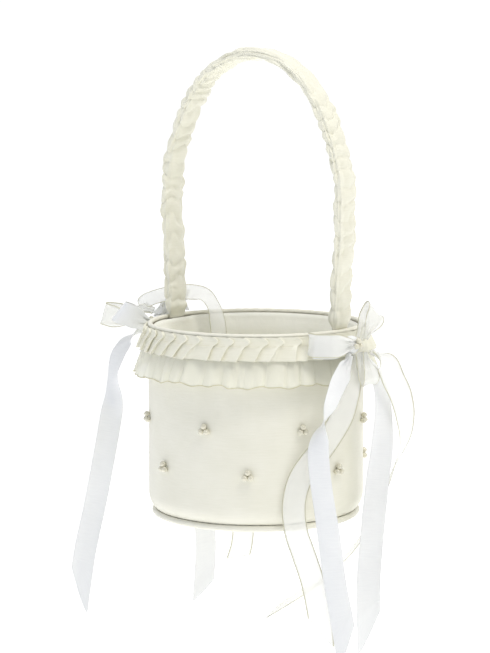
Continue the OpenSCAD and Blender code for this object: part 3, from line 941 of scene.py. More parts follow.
@dataclass
class Ruffle:
    """The two frills under the rim: knife-pleated satin, and gathered organza below it.

    Drops below the rim, the pleats' depth and their lean are in millimetres.
    """

    datum: Datum
    finishes: Finishes
    pleats: int = 43
    pleat_depth: float = 2.5
    head_drop: float = 2.2
    stitch_drop: float = 8.0
    satin_drop: float = 17.6
    lean: float = 4.6
    satin_t: float = 0.22 * MM
    satin_fullness: float = 1.62
    skirt_top: float = 4.8
    skirt_drop: float = 34.4
    organza_t: float = 0.14 * MM
    organza_fullness: float = 1.25

    def build(self) -> None:
        """Builds both frills, the gathering thread and the organza's hem."""
        self.satin()
        self.organza()
        self.thread()

    def folds(self, columns: int) -> tuple[np.ndarray, np.ndarray, np.ndarray]:
        """Walks along the pleated cloth once round the basket.

        Args:
            columns: Points in each pleat.

        Returns:
            Bearing along the face in pleats, how far each point stands out from 0 to 1, and the
            number of the pleat that it is in.
        """
        face = [(0.0, 0.0), (0.18, 0.1), (0.4, 0.22), (0.62, 0.38), (0.8, 0.6), (0.92, 0.88),
                (0.98, 1.0), (1.03, 0.97), (1.05, 0.8), (1.02, 0.5), (0.98, 0.2)]
        steps = np.linspace(0, len(face) - 1, columns, endpoint=False)
        x = np.interp(steps, range(len(face)), [f[0] for f in face])
        y = np.interp(steps, range(len(face)), [f[1] for f in face])
        number = np.repeat(np.arange(self.pleats), columns)
        return number + np.tile(x, self.pleats), np.tile(y, self.pleats), number

    def satin(self) -> None:
        """Makes the knife-pleated satin, whose pleats kink and lean below the stitching."""
        place, stand, number = self.folds(16)
        drops = np.concatenate([np.linspace(self.head_drop, self.stitch_drop, 8),
                                np.linspace(self.stitch_drop, self.satin_drop, 14)[1:]])
        rng = np.random.default_rng(11)
        wide = rng.uniform(-0.22, 0.22, self.pleats + 2)
        tilt = rng.uniform(0.65, 1.35, self.pleats + 2)
        puff = rng.uniform(0.75, 1.3, self.pleats + 2)
        hem = rng.uniform(-0.5, 0.5, self.pleats + 2)
        step = TAU / self.pleats
        grid = np.empty((len(drops), len(place), 3))
        for i, drop in enumerate(drops):
            below = max(0.0, drop - self.stitch_drop) / (self.satin_drop - self.stitch_drop)
            above = max(0.0, self.stitch_drop - drop) / (self.stitch_drop - self.head_drop)
            zigzag = 0.3 * math.sin(math.pi * above)
            shift = -self.lean * tilt[number] * below ** 0.8 / 11.0 + zigzag
            turn = (place + wide[number] * (0.4 + 0.6 * below) + shift) * step
            flat = 0.75 + 4.35 * (drop - self.head_drop) / 14.8
            nip = 0.18 * math.exp(-((drop - self.stitch_drop) / 1.2) ** 2)
            out = 0.75 + below * 0.6 * puff[number] - nip
            curl = 0.35 * below ** 2 * np.sin(stand * math.pi)
            radius = self.datum.cover_r + (flat + (stand * self.pleat_depth * 1.05 + curl) * out) * MM
            height = self.datum.rim - (drop + hem[number] * below ** 3 * 0.6) * MM
            grid[i] = round_points(turn, radius, height)
        piece = cloth("satin_ruffle_pleats", grid[::-1], ring_across=True)
        thicken(piece, self.satin_t)
        dress(piece, self.finishes.gathered)
        hand_over(piece, "basket", ["satin_ruffle"])

    def organza_skirt(self, turn: np.ndarray, drop: np.ndarray) -> np.ndarray:
        """Finds how far the organza stands off the cover.

        Args:
            turn: Bearing in radians.
            drop: Depth below the rim, in millimetres.

        Returns:
            Distance off the cover, in millimetres.
        """
        fall = smooth(10, 35, drop)
        straight = 0.35 + np.where(drop < 17, 3.4 * (drop - 4.6) / 12.4, 3.4 + 6.2 * (drop - 17) / 18)
        phase = self.pleats * turn / 2 + 1.3 * np.sin(3 * turn) + 0.6 * np.sin(11 * turn)
        wave = 1.9 * (np.abs(np.sin(phase)) ** 0.6 - 0.7) + 0.4 * np.sin(29 * turn + 2.0)
        wave = wave + 0.5 * (np.abs(np.sin(1.5 * phase + 2 * np.sin(7 * turn))) ** 0.6 - 0.7)
        return straight + wave * (0.15 + 1.15 * fall)

    def organza(self) -> None:
        """Makes the gathered organza and its rolled hem."""
        around = 860
        drops = np.linspace(self.skirt_top, self.skirt_drop, 40)
        turn = np.linspace(0, TAU, around, endpoint=False)
        grid = np.empty((len(drops), around, 3))
        hem_wave = 0.7 * np.sin(17 * turn) + 0.5 * np.sin(39 * turn + 1.0) + 0.3 * np.sin(5 * turn)
        for i, drop in enumerate(drops):
            share = i / (len(drops) - 1)
            off = self.organza_skirt(turn, np.full_like(turn, drop))
            sway = 0.6 * MM * share * np.sin(self.pleats * turn + 0.8)
            side = (sway - 2.6 * MM * share) / self.datum.cover_r
            height = self.datum.rim - (drop + hem_wave * share ** 3) * MM
            grid[i] = round_points(turn + side, self.datum.cover_r + off * MM, height)
        skirt = cloth("organza_ruffle_skirt", grid[::-1], ring_across=True)
        thicken(skirt, self.organza_t)
        dress(skirt, self.finishes.skirt)
        hand_over(skirt, "basket", ["organza_ruffle"])
        hem = self.cord_ring("organza_hem", grid[-1], 0.34 * MM)
        dress(hem, self.finishes.hem)
        hand_over(hem, "basket")

    def cord_ring(self, name: str, line: np.ndarray, radius: float) -> bpy.types.Object:
        """Makes a thin cord along a closed line.

        Args:
            name: The piece's name.
            line: Points of the line.
            radius: The cord's radius.

        Returns:
            The piece.
        """
        ahead = np.roll(line, -1, axis=0) - np.roll(line, 1, axis=0)
        ahead /= np.linalg.norm(ahead, axis=1, keepdims=True)
        out = np.stack([line[:, 0], line[:, 1], np.zeros(len(line))], axis=-1)
        out /= np.linalg.norm(out, axis=1, keepdims=True)
        up = np.cross(ahead, out)
        turns = np.linspace(0, TAU, 6, endpoint=False)
        grid = line[:, None, :] + radius * (
            np.cos(turns)[None, :, None] * out[:, None, :]
            + np.sin(turns)[None, :, None] * up[:, None, :]
        )
        return cloth(name, grid, ring_along=True, ring_across=True)

    def thread(self) -> None:
        """Makes the gathering thread, which dips into each pleat."""
        turn = np.linspace(0, TAU, self.pleats * 10, endpoint=False)
        dip = 0.5 + 0.5 * np.cos(self.pleats * turn)
        radius = self.datum.cover_r + (4.15 - 0.9 * dip) * MM
        line = round_points(turn, radius, self.datum.rim - self.stitch_drop * MM)
        piece = self.cord_ring("gathering_thread", line, 0.14 * MM)
        dress(piece, self.finishes.thread)
        hand_over(piece, "basket", ["ruffle_thread"])


# ---------------------------------------------------------------- the handle


# The sleeve's gathers, from the left foot over the crest to the right foot. Each row holds the
# share of the way, the distance between creases and their depth in millimetres, and their slant.
GATHERS = (
    (0.0, 13, 2.0, 0.2), (0.06, 14, 2.8, 0.4), (0.14, 15, 3.0, -0.3), (0.22, 8, 2.8, 0.2),
    (0.3, 12, 2.8, 0.3), (0.38, 7, 2.4, 0.2), (0.46, 11, 1.3, 0.5), (0.5, 16, 0.6, 0.9),
    (0.6, 17, 0.9, 0.8), (0.66, 10, 2.3, 0.5), (0.74, 9, 2.6, 0.4), (0.82, 11, 2.5, 0.5),
    (0.92, 13, 2.5, 0.6), (1.0, 13, 1.8, 0.3),
)


@dataclass
class Handle:
    """The arched handle, whose satin sleeve is longer than its core and so is ruched all along."""

    datum: Datum
    finishes: Finishes
    belly: float = 4 * MM
    shoulder_r: float = 132 * MM
    crest_r: float = 60 * MM
    bend_r: float = 60 * MM
    core_t: float = 2 * MM
    half_thick: float = 3.75 * MM
    half_wide: float = 9.5 * MM
    tuck: float = 3.2 * MM

    def build(self) -> None:
        """Builds the ruched sleeve and the foam inside it."""
        self.sleeve()

    def middle_line(self) -> tuple[np.ndarray, np.ndarray]:
        """Follows the arch from its left foot over the crest to its right foot.

        Returns:
            Points of the middle line and the outward direction at each.
        """
        sleeve_low, sleeve_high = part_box("handle_sleeve")
        foot_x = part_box("handle_core")[1][0] - self.belly - self.core_t / 2
        bend_z = sleeve_low[2]
        crest_z = sleeve_high[2] - self.half_thick
        shoulder_x = foot_x + self.belly - self.shoulder_r
        theta = math.acos(-shoulder_x / (self.shoulder_r - self.crest_r))
        crest_mid = crest_z - self.crest_r
        shoulder_z = crest_mid - (self.shoulder_r - self.crest_r) * math.sin(theta)
        bend_x = foot_x + self.bend_r
        across, up = bend_x - shoulder_x, shoulder_z - bend_z
        reach = math.hypot(across, up)
        lean = math.asin((self.shoulder_r + self.bend_r) / reach) - math.atan2(across, up)
        run = math.sqrt(reach ** 2 - (self.shoulder_r + self.bend_r) ** 2)

        def arc(
            x: float, z: float, radius: float, bearings: np.ndarray
        ) -> list[tuple[float, float, float, float]]:
            """Follows a stretch round one centre, from its inside where the radius is negative."""
            ways = [(math.cos(a), math.sin(a)) for a in bearings]
            return [(x + radius * nx, z + radius * nz, nx, nz) for nx, nz in ways]

        half = [(foot_x, bend_z - self.tuck, 1.0, 0.0)]
        half += arc(bend_x, bend_z, -self.bend_r, np.linspace(0, -lean, 6))
        leg_x, leg_z = half[-1][:2]
        way_x, way_z = math.sin(lean), math.cos(lean)
        half += [(leg_x + d * way_x, leg_z + d * way_z, way_z, -way_x)
                 for d in np.linspace(0, run, 60)[1:]]
        half += arc(shoulder_x, shoulder_z, self.shoulder_r, np.linspace(-lean, theta, 90)[1:])
        half += arc(0.0, crest_mid, self.crest_r, np.linspace(theta, math.pi / 2, 60)[1:])
        right = np.array(half)
        left = right[:-1] * np.array([-1, 1, -1, 1])
        whole = np.concatenate([left, right[::-1]])
        steps = np.linalg.norm(np.diff(whole[:, :2], axis=0), axis=1)
        length = np.concatenate([[0], np.cumsum(steps)])
        even = np.linspace(0, length[-1], int(length[-1] / (0.55 * MM)))
        x, z, nx, nz = (np.interp(even, length, whole[:, i]) for i in range(4))
        size = np.hypot(nx, nz)
        zero = np.zeros_like(x)
        return np.stack([x, zero, z], axis=-1), np.stack([nx / size, zero, nz / size], axis=-1)

    def sleeve(self) -> None:
        """Makes the ruched sleeve: soft puffs with creases between them, tightest at a shoulder."""
        line, out = self.middle_line()
        steps = np.linalg.norm(np.diff(line, axis=0), axis=1)
        run = np.concatenate([[0], np.cumsum(steps)])
        share = run / run[-1]
        at, *columns = np.array(GATHERS).T
        spacing, depth, slant = (np.interp(share, at, column) for column in columns)
        phase = np.concatenate([[0], np.cumsum(steps / (spacing[1:] * MM))])
        turns = np.linspace(0, TAU, 80, endpoint=False)
        squash = 0.82
        thick = np.sign(np.cos(turns)) * np.abs(np.cos(turns)) ** squash
        wide = np.sign(np.sin(turns)) * np.abs(np.sin(turns)) ** squash
        ends = np.minimum(run, run[-1] - run)
        full = smooth(0, 9 * MM, ends)
        half_t = self.half_thick * (0.4 + 0.75 * full) - 0.2 * MM
        half_w = self.half_wide * (0.9 + 0.16 * full) - 0.3 * MM
        y = wide[None, :] * half_w[:, None] / MM
        face = np.cos(turns)[None, :]
        wander = 0.34 * ripple(run[:, None] / (19 * MM) + face * 0.8, y / 11, 4.0)
        wander = wander + 0.1 * ripple(run[:, None] / (8 * MM), y / 6 + face, 9.0)
        crest = phase[:, None] + wander + slant[:, None] * y / 14 * face
        puff = np.abs(np.sin(math.pi * crest)) ** 0.62
        fine = np.abs(np.sin(math.pi * (2 * crest + 0.6 * wander + 0.3)))
        broken = 0.7 + 0.4 * ripple(run[:, None] / (15 * MM), y / 7 + 2 * face, 6.0)
        tight = smooth(0.3, 0.7, ripple(run[:, None] / (20 * MM), y / 20, 14.0) + 0.35)
        swell = depth[:, None] * (broken * (puff - 0.75) + 0.2 * tight * (fine - 0.7)) * full[:, None]
        swell = np.where(swell < 0, 1.4 * np.tanh(swell / 1.4), swell)
        lumps = 1.2 * ripple(run[:, None] / (17 * MM), y / 22 + 3 * face, 2.0) * full[:, None]
        t = thick[None, :] * half_t[:, None]
        w = wide[None, :] * half_w[:, None]
        grow = (swell + lumps) * MM
        t = t + np.cos(turns)[None, :] * grow
        w = w + np.sin(turns)[None, :] * grow
        shear = 0.9 * MM * ripple(run[:, None] / (21 * MM), np.zeros((1, 1)), 12.0)
        grid = line[:, None, :] + out[:, None, :] * t[..., None]
        grid[..., 1] += w + shear * full[:, None]
        piece = close_holes(cloth("handle_sleeve_ruched", grid, ring_across=True))
        dress(piece, self.finishes.gathered)
        hand_over(piece, "basket", ["handle_sleeve"])
        self.foam(line, out, t, w)

    def foam(self, line: np.ndarray, out: np.ndarray, t: np.ndarray, w: np.ndarray) -> None:
        """Makes the foam round the core, squeezed in wherever the sleeve is gathered tight.

        Args:
            line: The arch's middle line.
            out: Outward direction at each point of the line.
            t: The sleeve's reach across its thickness.
            w: The sleeve's reach across its width.
        """
        grid = line[:, None, :] + out[:, None, :] * (0.78 * t)[..., None]
        grid[..., 1] += 0.9 * w
        piece = close_holes(cloth("handle_foam", grid[4:-4:3, ::2], ring_across=True))
        dress(piece, self.finishes.wadding)
        hand_over(piece, "basket", ["handle_padding"])


# --------------------------------------------------------------- ribbon work


RIBBON_W = 16 * MM
BOW_BEARINGS = {"left": 180.0, "right": -6.5}


class RibbonEnd(Enum):
    """How a ribbon's free end is cut, as a lean of the cut across its width."""

    SQUARE = 0.0
    SLANT_OUT = 1.0
    SLANT_IN = -1.0


class Cloth(Enum):
    """The two ribbons of a bow."""

    SATIN = "satin"
    ORGANZA = "organza"


@dataclass(frozen=True)
class Strand:
    """One loop or tail of a bow, as rows along its middle line.

    Each row holds a bearing round the basket in degrees, a distance off the cover and a height
    above the underside in millimetres, and the bearing and rise of the ribbon's width in degrees.
    """

    name: str
    stuff: Cloth
    rows: tuple[Row, ...]
    is_loop: bool
    cut: RibbonEnd = RibbonEnd.SQUARE
    cup: float = 0.0
    replaces: tuple[str, ...] = ()
    tucks: float = 2.5
    seed: float = 0.0
    narrow: float = 1.0


@dataclass
class RibbonMaker:
    """Makes ribbons along their strands, gathered where they enter the knot."""

    datum: Datum
    finishes: Finishes
    width: float = RIBBON_W
    satin_t: float = 0.22 * MM
    organza_t: float = 0.1 * MM
    pinch: float = 0.34
    gather: float = 17 * MM
    slant: float = 15 * MM
    columns: int = 25
    steps_a_row: int = 16

    def spline(self, rows: np.ndarray, at: np.ndarray) -> np.ndarray:
        """Reads a smooth curve through rows at places counted in rows.

        Args:
            rows: Values of each row.
            at: Places along the rows, from 0 to the last row's number.

        Returns:
            The values there.
        """
        last = len(rows) - 1
        i = np.clip(np.floor(at).astype(int), 0, last - 1)
        t = (at - i)[..., None]
        a, b = rows[np.maximum(i - 1, 0)], rows[i]
        c, d = rows[i + 1], rows[np.minimum(i + 2, last)]
        return 0.5 * (2 * b + t * (c - a) + t * t * (2 * a - 5 * b + 4 * c - d)
                      + t * t * t * (3 * b - a - 3 * c + d))

    def make(self, strand: Strand) -> bpy.types.Object:
        """Makes one strand.

        Args:
            strand: The strand.

        Returns:
            The ribbon, dressed but not yet handed over.
        """
        table = np.array(strand.rows, float)
        hints = np.stack([
            np.cos(np.radians(table[:, 3])) * np.cos(np.radians(table[:, 4])),
            np.sin(np.radians(table[:, 3])) * np.cos(np.radians(table[:, 4])),
            np.sin(np.radians(table[:, 4])),
        ], axis=-1)
        spots = np.array([self.datum.spot(*row[:3]) for row in table])
        last = len(table) - 1
        steps = self.steps_a_row * last
        side = np.linspace(-1, 1, self.columns)
        along = np.linspace(0, last, steps)
        middle = self.spline(spots, along)
        length = np.concatenate([[0], np.cumsum(np.linalg.norm(np.diff(middle, axis=0), axis=1))])
        even = np.interp(np.linspace(0, length[-1], steps), length, along)
        if strand.is_loop:
            reach = np.broadcast_to(even[:, None], (steps, self.columns))
        else:
            cut = strand.cut.value * self.slant / 2 / length[-1] * last
            late = smooth(0.8, 1.0, np.linspace(0, 1, steps))
            lead = side[None, :] - 1 if strand.cut is RibbonEnd.SLANT_OUT else side[None, :] + 1
            reach = np.clip(even[:, None] + cut * late[:, None] * lead, 0, last)
        middle = self.spline(spots, reach)
        hint = self.spline(hints, reach)
        small = 1e-3
        run = self.spline(spots, np.clip(reach + small, 0, last)) - self.spline(
            spots, np.clip(reach - small, 0, last))
        run /= np.linalg.norm(run, axis=-1, keepdims=True)
        across = hint - (hint * run).sum(-1, keepdims=True) * run
        across /= np.linalg.norm(across, axis=-1, keepdims=True)
        face = np.cross(run, across)
        gone = np.linspace(0, length[-1], steps)
        from_knot = np.minimum(gone, length[-1] - gone) if strand.is_loop else gone
        share = self.pinch + (1 - self.pinch) * smooth(0, self.gather, from_knot)
        share = share[:, None]
        fold = (1 - share) * 0.17 * self.width
        tucks = fold * np.cos(strand.tucks * math.pi * (side[None, :] + 0.3 * strand.seed))
        cup = strand.cup * MM * (side[None, :] ** 2 - 0.4) * share
        roll = 0.45 * MM * ripple(gone[:, None] / (34 * MM), side[None, :] * 0.55, 3 + strand.seed)
        flutter = 0.9 * MM * ripple(gone[:, None] / (52 * MM), np.zeros((1, 1)), 7 + strand.seed)
        lift = tucks + cup + (roll + flutter * side[None, :]) * share
        reach_out = side[None, :] * self.width / 2 * share * strand.narrow
        grid = middle + across * reach_out[..., None] + face * lift[..., None]
        edge = np.abs(side)[None, :]
        piece = cloth(strand.name, grid, edge=edge)
        satin = strand.stuff is Cloth.SATIN
        thicken(piece, self.satin_t if satin else self.organza_t)
        return dress(piece, self.finishes.ribbon if satin else self.finishes.organza)


@dataclass
class Bow:
    """A hand-tied bow of satin and organza ribbon: its knot, loops and tails.

    The bend from the knot to the swinging tails, and the knot's half sizes, are in millimetres.
    """

    side: str
    datum: Datum
    finishes: Finishes
    bearing: float
    loops: tuple[Strand, ...]
    tails: tuple[Strand, ...]
    bend_off: float = 9
    bend_top: float = 119
    bend_foot: float = 98
    knot_halves: tuple[float, float, float] = (5.0, 5.6, 6.2)

    @property
    def tail_body(self) -> str:
        """The name of the tails' CAD body."""
        return f"{self.side}_tails"

    def build(self) -> None:
        """Builds the knot, every loop and every tail."""
        maker = RibbonMaker(self.datum, self.finishes)
        self.knot()
        for strand in self.loops + self.tails:
            self.place(maker.make(strand), strand)

    def ribbon_length(self, strand: Strand) -> float:
        """Measures a strand from row to row, in metres."""
        spots = np.array([self.datum.spot(*row[:3]) for row in strand.rows])
        return float(np.linalg.norm(np.diff(spots, axis=0), axis=1).sum()) * 1.02

    def place(self, piece: bpy.types.Object, strand: Strand) -> None:
        """Hands a ribbon over: a loop rides on the basket, and a tail keeps its place baked into its mesh.

        Args:
            piece: The ribbon.
            strand: What it was made from.
        """
        if strand in self.loops:
            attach(piece, "basket")
        else:
            top = self.datum.spot(self.bearing, self.bend_off, self.bend_top)
            foot = self.datum.spot(self.bearing, self.bend_off, self.bend_foot)
            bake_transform(piece)
        if strand.replaces:
            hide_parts(*strand.replaces)
        self.ribbon_length(strand)
        LOG.info("%s: %d faces", piece.name, len(piece.data.polygons))

    def knot(self) -> None:
        """Makes the knot: a puffed turn of ribbon with folds down its length."""
        node = f"{self.side}_knot"
        low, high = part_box(node)
        middle = (Vector(low) + Vector(high)) / 2
        piece = shape(f"{node}_satin", bpy.ops.mesh.primitive_uv_sphere_add, segments=64,
                      ring_count=40, radius=1.0)
        turn = math.radians(self.bearing)
        deep, broad, tall = self.knot_halves

        def puff(points: np.ndarray) -> np.ndarray:
            """Puffs a ball into a creased knot at its place.

            Args:
                points: The piece's points, one a row.

            Returns:
                The points, moved.
            """
            around, _, up = polar(points)
            waist = 1 - 0.16 * np.exp(-(up / 0.3) ** 2)
            crease = np.abs(np.sin(4.5 * around + 1.5 * up + 0.5 * np.sin(3 * up))) ** 0.5 - 0.7
            body = np.abs(up) ** 3
            size = waist * (1 + 0.13 * crease * (1 - body))
            flat_top = np.sign(up) * np.abs(up) ** 0.8
            out, side = points[:, 0] * deep * size, points[:, 1] * broad * size
            x = out * math.cos(turn) - side * math.sin(turn)
            y = out * math.sin(turn) + side * math.cos(turn)
            return np.stack([x, y, flat_top * tall], axis=-1) * MM + np.array(middle)

        dent(piece, puff)
        piece.data.uv_layers[0].name = "cloth"
        dress(piece, self.finishes.ribbon)
        hand_over(piece, "basket", [node])


@dataclass
class Pearls:
    """The beads: trios sewn to the wall and one trio on each knot."""

    datum: Datum
    finishes: Finishes
    radius: float = 2 * MM
    pitch: float = 4.1 * MM
    wall_gap: float = 0.05 * MM
    trios: int = 7
    knot_off: float = 19.05 * MM
    knot_height: float = 127.5 * MM

    def bead(self) -> bpy.types.Object:
        """Models one bead: a ball that is dimpled at the two ends of its thread hole.

        Returns:
            The bead, round the origin.
        """
        piece = shape("bead", bpy.ops.mesh.primitive_uv_sphere_add, segments=28, ring_count=20,
                      radius=self.radius)
        bpy.ops.object.mode_set(mode="EDIT")
        bpy.ops.mesh.select_mode(type="FACE")
        bpy.ops.mesh.select_all(action="DESELECT")
        bpy.ops.object.mode_set(mode="OBJECT")
        for face in piece.data.polygons:
            face.select = abs(face.normal.z) > 0.985
        bpy.ops.object.mode_set(mode="EDIT")
        bpy.ops.mesh.inset(thickness=0.12 * MM, depth=0.0)
        bpy.ops.transform.resize(value=(0.8, 0.8, 0.82), center_override=(0, 0, 0))
        bpy.ops.object.mode_set(mode="OBJECT")
        bpy.ops.object.shade_smooth()
        return piece

    def stitch(self) -> bpy.types.Object:
        """Models the loop of thread that holds a bead down.

        Returns:
            The loop, round the origin.
        """
        piece = shape("stitch", bpy.ops.mesh.primitive_torus_add, major_radius=self.radius * 0.62,
                      minor_radius=0.16 * MM, major_segments=20, minor_segments=6)
        bpy.ops.object.mode_set(mode="EDIT")
        bpy.ops.mesh.select_all(action="SELECT")
        bpy.ops.transform.resize(value=(1.9, 0.35, 1.0), center_override=(0, 0, 0))
        bpy.ops.object.mode_set(mode="OBJECT")
        bpy.ops.object.shade_smooth()
        return piece

    def trio_spots(self, bearing: float, off: float, height: float) -> list[Matrix]:
        """Places three beads in a triangle: one above two.

        Args:
            bearing: Bearing of the trio, in degrees.
            off: Distance of the beads' middles off the cover, in metres.
            height: Height of the trio above the underside, in metres.

        Returns:
            The place and turn of each bead.
        """
        rise = self.pitch * math.sqrt(3) / 2
        radius = self.datum.cover_r + off
        half = math.asin(self.pitch / 2 / radius)
        found = []
        for turn, up, spin in ((0.0, rise / 2, 0.2), (-half, -rise / 2, 2.1), (half, -rise / 2, -2.0)):
            angle = math.radians(bearing) + turn
            place = Matrix.Translation((radius * math.cos(angle), radius * math.sin(angle),
                                        self.datum.under + height + up))
            facing = place @ Matrix.Rotation(angle, 4, "Z")
            found.append(facing @ Matrix.Rotation(math.pi / 2 + spin, 4, "X"))
        return found

    def row(self, name: str, node: str, spots: Sequence[Matrix]) -> None:
        """Makes a row of beads with their stitches.

        Args:
            name: The piece's name.
            node: The CAD beads that it stands for.
            spots: The place and turn of each bead.
        """
        bead, stitch = self.bead(), self.stitch()
        beads, stitches = [], []
        for spot in spots:
            for model, kept in ((bead, beads), (stitch, stitches)):
                copy = model.copy()
                copy.data = model.data.copy()
                copy.data.transform(spot)
                bpy.context.scene.collection.objects.link(copy)
                kept.append(copy)
        for model in (bead, stitch):
            bpy.data.objects.remove(model)
        piece = dress(join(name, beads), self.finishes.pearl)
        sewn = dress(join(f"{name}_thread", stitches), self.finishes.thread)
        hand_over(piece, "basket", [node])
        hand_over(sewn, "basket")

    def build(self) -> None:
        """Builds the two rows on the wall and the trio on each knot."""
        for name, node, first, height in (
            ("upper_pearl_trios", "upper_pearls", -80.5, 70 * MM),
            ("lower_pearl_trios", "lower_pearls", -57.5, 40 * MM),
        ):
            bearings = [first + i * 360 / self.trios for i in range(self.trios)]
            spots = [spot for bearing in bearings
                     for spot in self.trio_spots(bearing, self.radius + self.wall_gap, height)]
            self.row(name, node, spots)
        for side, bearing in BOW_BEARINGS.items():
            self.row(f"{side}_bow_trio", f"{side}_bow_pearls",
                     self.trio_spots(bearing, self.knot_off, self.knot_height))


LEFT_LOOPS = (
    Strand("left_satin_loop_front", Cloth.SATIN, (
        (184, 13, 127, 37, 80), (189.5, 16, 129, 37, 65), (194, 22, 133.5, 37, 52),
        (195.5, 28, 136, 37, 49), (193.5, 31, 137, 37, 49), (189.5, 27, 134, 37, 55),
        (185.5, 20, 130, 37, 70), (183.5, 16.5, 127, 37, 80)), True,
        replaces=("left_satin_loops",), seed=1.0),
    Strand("left_satin_loop_back", Cloth.SATIN, (
        (176, 17.5, 130, 90, 80), (171.5, 19, 133, 80, 70), (167, 13.5, 138.5, 62, 60),
        (164.5, 8.5, 141.5, 62, 55), (163, 11.5, 141.5, 62, 55), (164, 18, 138, 62, 60),
        (169, 24, 133, 80, 70), (175, 22.5, 130, 90, 80)), True, seed=2.0),
    Strand("left_organza_loop_out", Cloth.ORGANZA, (
        (184.5, 23.5, 130, 37, 85), (184.5, 31, 131.5, 37, 82), (186, 40, 132.5, 37, 78),
        (187.5, 48, 133, 37, 75), (189.5, 48.5, 133, 37, 75), (189, 41, 131, 37, 78),
        (187.5, 33, 129, 37, 82), (186.5, 26, 128, 37, 85)), True,
        replaces=("left_organza_loop",), seed=3.0),
    Strand("left_organza_over_rim", Cloth.ORGANZA, (
        (177, 21, 134, 110, 50), (179.5, 29, 138.5, 120, 42), (176, 24, 143.5, 125, 40),
        (170, 13, 147, 127, 40), (164.5, 2, 148, 127, 36), (160, -8, 146, 120, 26),
        (157.5, -16, 138.5, 100, 8), (157, -20, 129, 85, 0), (157, -22, 118, 82, 0),
        (157, -22.5, 101, 80, 0)), False,
        replaces=("left_organza_inner_tail",), seed=4.0),
)

LEFT_TAILS = (
    Strand("left_tail_front", Cloth.SATIN, (
        (181.5, 14, 124, -20, 60), (183.5, 22, 121.5, -20, 42), (186.5, 31, 115, -15, 20),
        (188.5, 33.5, 109.5, -15, 8),
        (190.5, 36, 102, -18, 0), (192, 38, 89, -25, 0), (192.5, 37, 73, 5, 0),
        (193, 39, 59, 35, 0), (194, 43, 34, 38, 0), (195, 50, -4, 37, 0),
        (196.5, 57, -40, 35, 0), (197.5, 63, -84, 35, 0)), False, RibbonEnd.SLANT_OUT, 0.8,
        ("left_satin_front_tail",), seed=5.0),
    Strand("left_tail_back", Cloth.SATIN, (
        (178, 14, 121, 90, -45), (175, 15.5, 113, 88, -25), (171, 17.5, 106, 82, -10),
        (167, 18.5, 93, 76, 0), (161, 18, 55, 66, 0), (155, 15, 8, 62, 0),
        (152, 13, -32, 62, 0), (152, 13, -54, 62, 0), (153, 14, -84, 60, 0)), False,
        RibbonEnd.SLANT_IN, 0.6, ("left_satin_back_tail",), seed=6.0),
    Strand("left_tail_veil", Cloth.ORGANZA, (
        (177, 17, 123, 88, -45), (171, 25, 115, 84, -25), (166, 28, 104, 78, -12),
        (160, 29, 90, 72, 0), (148, 27, 48, 60, 0), (139, 21, 8, 52, 0),
        (133.5, 15, -26, 48, 0), (133.5, 13, -42, 40, 0), (136, 13, -56, 38, 0)), False,
        RibbonEnd.SLANT_IN, 0.5, ("left_organza_tail",), seed=7.0),
)

RIGHT_LOOPS = (
    Strand("right_satin_loop_side", Cloth.SATIN, (
        (-9.7, 13, 127, 80, 85), (-15, 15, 127, 70, 85), (-21, 13.5, 127, 60, 84),
        (-25.5, 10.5, 127, 50, 82), (-26.5, 13, 127, 50, 82), (-22, 18.5, 127, 60, 84),
        (-15, 20, 127, 70, 85), (-10.2, 17, 127, 80, 85)), True,
        replaces=("right_satin_loop",), seed=8.0),
    Strand("right_organza_loop_side", Cloth.ORGANZA, (
        (-10.6, 20.5, 128, 80, 85), (-15, 23.5, 128, 70, 85), (-21.5, 22, 128, 60, 84),
        (-27, 16, 128, 50, 82), (-29, 12.5, 128.5, 50, 82), (-28.5, 9, 129.5, 50, 82),
        (-24.5, 8.2, 130.5, 60, 84), (-20, 8.8, 131, 70, 84)), True,
        replaces=("right_organza_loops",), seed=9.0),
    Strand("right_organza_loop_up", Cloth.ORGANZA, (
        (-1.5, 18, 130, 60, -30), (1, 19.5, 137, 60, -40), (3.7, 21, 144, 60, -43),
        (5.5, 19.5, 148, 60, -43), (7, 16.5, 147.5, 60, -43), (6, 13.5, 141.5, 60, -43),
        (2.5, 12.5, 134, 60, -40), (-0.5, 12.5, 129, 60, -30)), True, seed=10.0),
)

